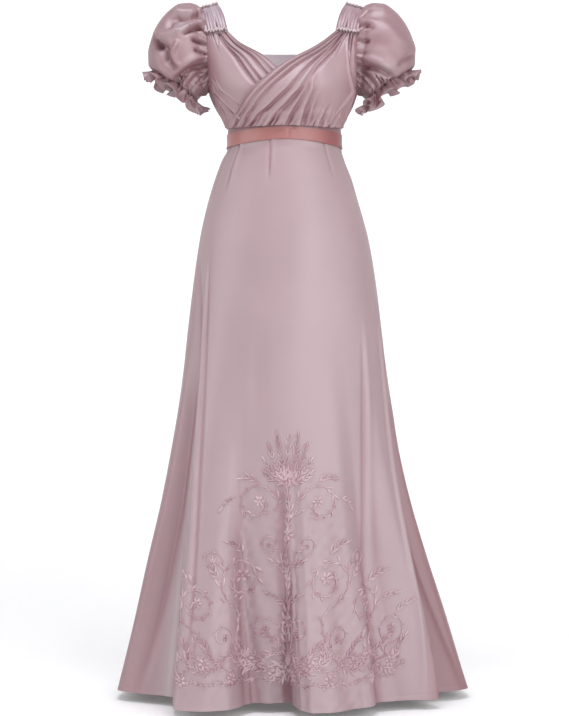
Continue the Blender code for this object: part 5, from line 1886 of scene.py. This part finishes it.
def backdrop(look):
    """A pale floor that curves up into a wall: one profile carried across its width."""
    bend = np.linspace(0, np.pi / 2, BACKDROP_BEND_POINTS)
    curve = look.distance - BACKDROP_RADIUS * (1 - np.sin(bend))
    y = np.concatenate([[-BACKDROP_FRONT], curve, [look.distance]])
    z = np.concatenate([[0.0], BACKDROP_RADIUS * (1 - np.cos(bend)), [BACKDROP_TOP]]) + FLOOR
    across = np.linspace(-BACKDROP_HALF, BACKDROP_HALF, 3)
    grid = np.stack(np.broadcast_arrays(across, y[:, None], z[:, None]), axis=-1)
    quads = grid_quads(np.arange(grid[..., 0].size).reshape(grid.shape[:2]))
    piece = build_mesh("backdrop", grid.reshape(-1, 3), [quads], np.zeros((quads.size, 2)))
    values = {"Roughness": 0.9, "Emission Color": tuple(look.paper), "Emission Strength": look.glow}
    material, tree, shader, place = new_material("Studio paper", values)
    grain = noise(tree, place["Object"], PAPER_GRAIN, 2.0)
    colour = mix_colours(tree, grain, shaded(look.paper, PAPER_DARKER), tuple(look.paper))
    set_inputs(tree, shader, {"Base Color": colour})
    piece.data.materials.append(material)


def place_object(name, data, location, rotation):
    """A light or camera at a place in the scene, turned as given."""
    obj = bpy.data.objects.new(name, data)
    obj.location, obj.rotation_euler = location, rotation
    bpy.context.scene.collection.objects.link(obj)
    return obj


def softbox(box, power):
    """A rectangular area light, turned to face the gown's middle."""
    light = bpy.data.lights.new(box.name, "AREA")
    light.shape = "RECTANGLE"
    light.size, light.size_y, light.energy, light.color = box.width, box.height, power, box.colour
    way = Vector(AIM) - Vector((box.x, box.y, box.z))
    place_object(box.name, light, (box.x, box.y, box.z), way.to_track_quat("-Z", "Y").to_euler())


def camera():
    """The camera at half the gown's height, facing it squarely."""
    lens = bpy.data.cameras.new("Camera")
    lens.sensor_fit = "VERTICAL"
    lens.sensor_height = SENSOR
    lens.lens = SENSOR * CAMERA_DISTANCE / VIEW_HEIGHT
    at = (CAMERA_ACROSS, -CAMERA_DISTANCE, CAMERA_HEIGHT)
    bpy.context.scene.camera = place_object("Camera", lens, at, (np.pi / 2, 0.0, 0.0))


def room(strength):
    """Even light from all sides."""
    world = bpy.data.worlds.new("Studio")
    world.use_nodes = True
    values = {"Color": ROOM_COLOUR, "Strength": strength}
    set_inputs(world.node_tree, world.node_tree.nodes["Background"], values)
    bpy.context.scene.world = world


# ---- what a user can change ----
def colour_setting(name, description, default):
    """A colour."""
    return FloatVectorProperty(
        name=name, description=description, subtype="COLOR", size=4, min=0.0, max=1.0, default=default
    )


def length_setting(name, description, default, low, high):
    """A length in metres."""
    kind = {"subtype": "DISTANCE", "unit": "LENGTH"}
    return FloatProperty(name=name, description=description, default=default, min=low, max=high, **kind)


def share_setting(name, description, low, high):
    """A strength as a share of the usual one."""
    return FloatProperty(name=name, description=description, subtype="FACTOR", default=1.0, min=low, max=high)


def power_setting(name, description, default):
    """A lamp's power in watts."""
    return FloatProperty(name=name, description=description, unit="POWER", default=default, min=0.0)


class GownColours(bpy.types.PropertyGroup):
    """Colours of the gown's cloths, thread and pearls."""

    satin: colour_setting("Satin", "Dye of the satin that the gown is cut from", (0.303, 0.195, 0.213, 1.0))
    ribbon: colour_setting("Ribbon", "Dye of the ribbon belt", (0.330, 0.120, 0.112, 1.0))
    thread: colour_setting("Thread", "Dye of the embroidery thread", (0.490, 0.338, 0.372, 1.0))
    pearl: colour_setting("Pearls", "Colour of the pearls on the straps", (0.500, 0.425, 0.440, 1.0))


class GownSizes(bpy.types.PropertyGroup):
    """Sizes of the gown's cloth, creases and trims."""

    cloth: length_setting("Cloth thickness", "Thickness of the satin's walls", 0.0013, 0.0006, 0.002)
    creases: share_setting("Creases", "Strength of the folds, as a share of their own depth", 0.0, 1.5)
    gathers: share_setting("Gathers", "Strength of the gathers, as a share of their depth", 0.0, 1.5)
    frill: length_setting("Frill flutes", "Height of the flutes at the frill's edge", 0.0095, 0.0, 0.014)
    pearl: length_setting("Pearl size", "Diameter of the larger pearls", 0.0050, 0.002, 0.006)
    embroidery: share_setting("Embroidery relief", "Height of the stitches, as a share of theirs", 0.3, 2.0)


class GownStage(bpy.types.PropertyGroup):
    """The studio that the gown is shown in."""

    key: power_setting("Key light", "Power of the main softbox", 54.0)
    side: power_setting("Side lights", "Power of the softbox at each side", 31.5)
    top: power_setting("Top light", "Power of the softbox above", 52.0)
    low: power_setting("Low light", "Power of the softbox near the floor", 20.0)
    sky: FloatProperty(name="Room light", description="Even light from all sides", default=0.30, min=0.0)
    glow: FloatProperty(name="Paper light", description="Light that the paper gives", default=0.1, min=0.0)
    distance: length_setting("Backdrop distance", "How far behind the gown the paper rises", 1.9, 0.6, 6.0)
    paper: colour_setting("Paper", "Colour of the backdrop", (0.93, 0.93, 0.93, 1.0))


class GownPiece:
    """What the gown's operators share: their options and their settings."""

    bl_options = {"REGISTER", "UNDO"}

    def settings(self, context):
        """The sizes and the colours that the user has set."""
        return context.scene.gown_sizes, context.scene.gown_colours


class GOWN_OT_skirt(GownPiece, bpy.types.Operator):
    """Make the skirt's two panels."""

    bl_idname = "gown.skirt"
    bl_label = "Skirt"

    def execute(self, context):
        sizes, colours = self.settings(context)
        front, back = SKIRT_SIDE_SEAM - SKIRT_SEAM_GAP, SKIRT_SIDE_SEAM + SKIRT_SEAM_GAP
        skirt_panel(sizes, colours, "front", -front, front, SKIRT_FRONT_COLUMNS)
        skirt_panel(sizes, colours, "back", back, 360.0 - back, SKIRT_BACK_COLUMNS)
        return {"FINISHED"}


class GOWN_OT_bodice(GownPiece, bpy.types.Operator):
    """Make the crossed bodice fronts and the back."""

    bl_idname = "gown.bodice"
    bl_label = "Bodice"

    def execute(self, context):
        sizes, colours = self.settings(context)
        crossed_front(sizes, colours, "over", OVER_NECKLINE, OVER_FOLDS, OVER_LIFT, "left")
        crossed_front(sizes, colours, "under", UNDER_NECKLINE, UNDER_FOLDS, UNDER_LIFT, "right")
        bodice_back(sizes, colours)
        return {"FINISHED"}


class GOWN_OT_straps(GownPiece, bpy.types.Operator):
    """Make the ruched shoulder straps."""

    bl_idname = "gown.straps"
    bl_label = "Straps"

    def execute(self, context):
        sizes, colours = self.settings(context)
        front_end, back_start = SHOULDER_LINE - STRAP_JOIN_GAP, SHOULDER_LINE + STRAP_JOIN_GAP
        for side in ("left", "right"):
            strap_length(sizes, colours, "front", side, 0.0, front_end, STRAP_FOLDS, STRAP_FRONT_COLUMNS)
            strap_length(sizes, colours, "back", side, back_start, 1.0, BACK_STRAP_FOLDS, STRAP_BACK_COLUMNS)
        return {"FINISHED"}


class GOWN_OT_pearls(GownPiece, bpy.types.Operator):
    """Make the four pearl trims on the straps."""

    bl_idname = "gown.pearls"
    bl_label = "Pearl trims"

    def execute(self, context):
        sizes, colours = self.settings(context)
        for side in ("left", "right"):
            pearl_trim(sizes, colours, "front", TRIM_FROM_END, side)
            pearl_trim(sizes, colours, "shoulder", SHOULDER_LINE, side)
        return {"FINISHED"}


class GOWN_OT_sleeves(GownPiece, bpy.types.Operator):
    """Make the puff sleeves and their frills."""

    bl_idname = "gown.sleeves"
    bl_label = "Sleeves"

    def execute(self, context):
        sizes, colours = self.settings(context)
        for side in ("left", "right"):
            puff_sleeve(sizes, colours, side)
            frill(sizes, colours, side)
        return {"FINISHED"}


class GOWN_OT_waist(GownPiece, bpy.types.Operator):
    """Make the waistband and the ribbon belt."""

    bl_idname = "gown.waist"
    bl_label = "Waistband and ribbon"

    def execute(self, context):
        sizes, colours = self.settings(context)
        waistband(sizes, colours)
        waist_ribbon(colours)
        return {"FINISHED"}


class GOWN_OT_embroidery(GownPiece, bpy.types.Operator):
    """Make the embroidery on the skirt front."""

    bl_idname = "gown.embroidery"
    bl_label = "Embroidery"

    def execute(self, context):
        sizes, colours = self.settings(context)
        embroidery(sizes, colours)
        return {"FINISHED"}


class GOWN_OT_stage(GownPiece, bpy.types.Operator):
    """Make the backdrop, the lights and the camera."""

    bl_idname = "gown.stage"
    bl_label = "Stage"

    def execute(self, context):
        look = context.scene.gown_stage
        backdrop(look)
        for box in SOFTBOXES:
            softbox(box, getattr(look, box.setting) * box.share)
        room(look.sky)
        context.scene.view_settings.view_transform = "Standard"
        camera()
        return {"FINISHED"}


OPERATORS = (
    GOWN_OT_skirt,
    GOWN_OT_bodice,
    GOWN_OT_straps,
    GOWN_OT_pearls,
    GOWN_OT_sleeves,
    GOWN_OT_waist,
    GOWN_OT_embroidery,
    GOWN_OT_stage,
)


class GOWN_PT_panel(bpy.types.Panel):
    """The gown's pieces and settings in the 3D view's sidebar."""

    bl_idname = "GOWN_PT_panel"
    bl_label = "Regency gown"
    bl_space_type = "VIEW_3D"
    bl_region_type = "UI"
    bl_category = "Gown"

    def draw(self, context):
        for group in (context.scene.gown_sizes, context.scene.gown_colours, context.scene.gown_stage):
            for name in group.__annotations__:
                self.layout.prop(group, name)
        for operator in OPERATORS:
            self.layout.operator(operator.bl_idname)


CLASSES = (GownColours, GownSizes, GownStage, *OPERATORS, GOWN_PT_panel)


def register():
    """Registers the classes and puts their settings on the scene."""
    for cls in CLASSES:
        bpy.utils.register_class(cls)
    bpy.types.Scene.gown_colours = PointerProperty(type=GownColours)
    bpy.types.Scene.gown_sizes = PointerProperty(type=GownSizes)
    bpy.types.Scene.gown_stage = PointerProperty(type=GownStage)


def unregister():
    """Takes the settings off the scene and the classes out of Blender."""
    del bpy.types.Scene.gown_stage
    del bpy.types.Scene.gown_sizes
    del bpy.types.Scene.gown_colours
    for cls in reversed(CLASSES):
        bpy.utils.unregister_class(cls)


def corners(box):
    """The two corners of a box as plain lists."""
    return [list(corner) for corner in box]


def main():
    """Makes the whole gown and its stage."""
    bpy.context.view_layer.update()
    register()
    bpy.ops.gown.skirt()
    bpy.ops.gown.bodice()
    bpy.ops.gown.straps()
    bpy.ops.gown.pearls()
    bpy.ops.gown.sleeves()
    bpy.ops.gown.waist()
    bpy.ops.gown.embroidery()
    bpy.ops.gown.stage()


if __name__ == "__main__":
    main()
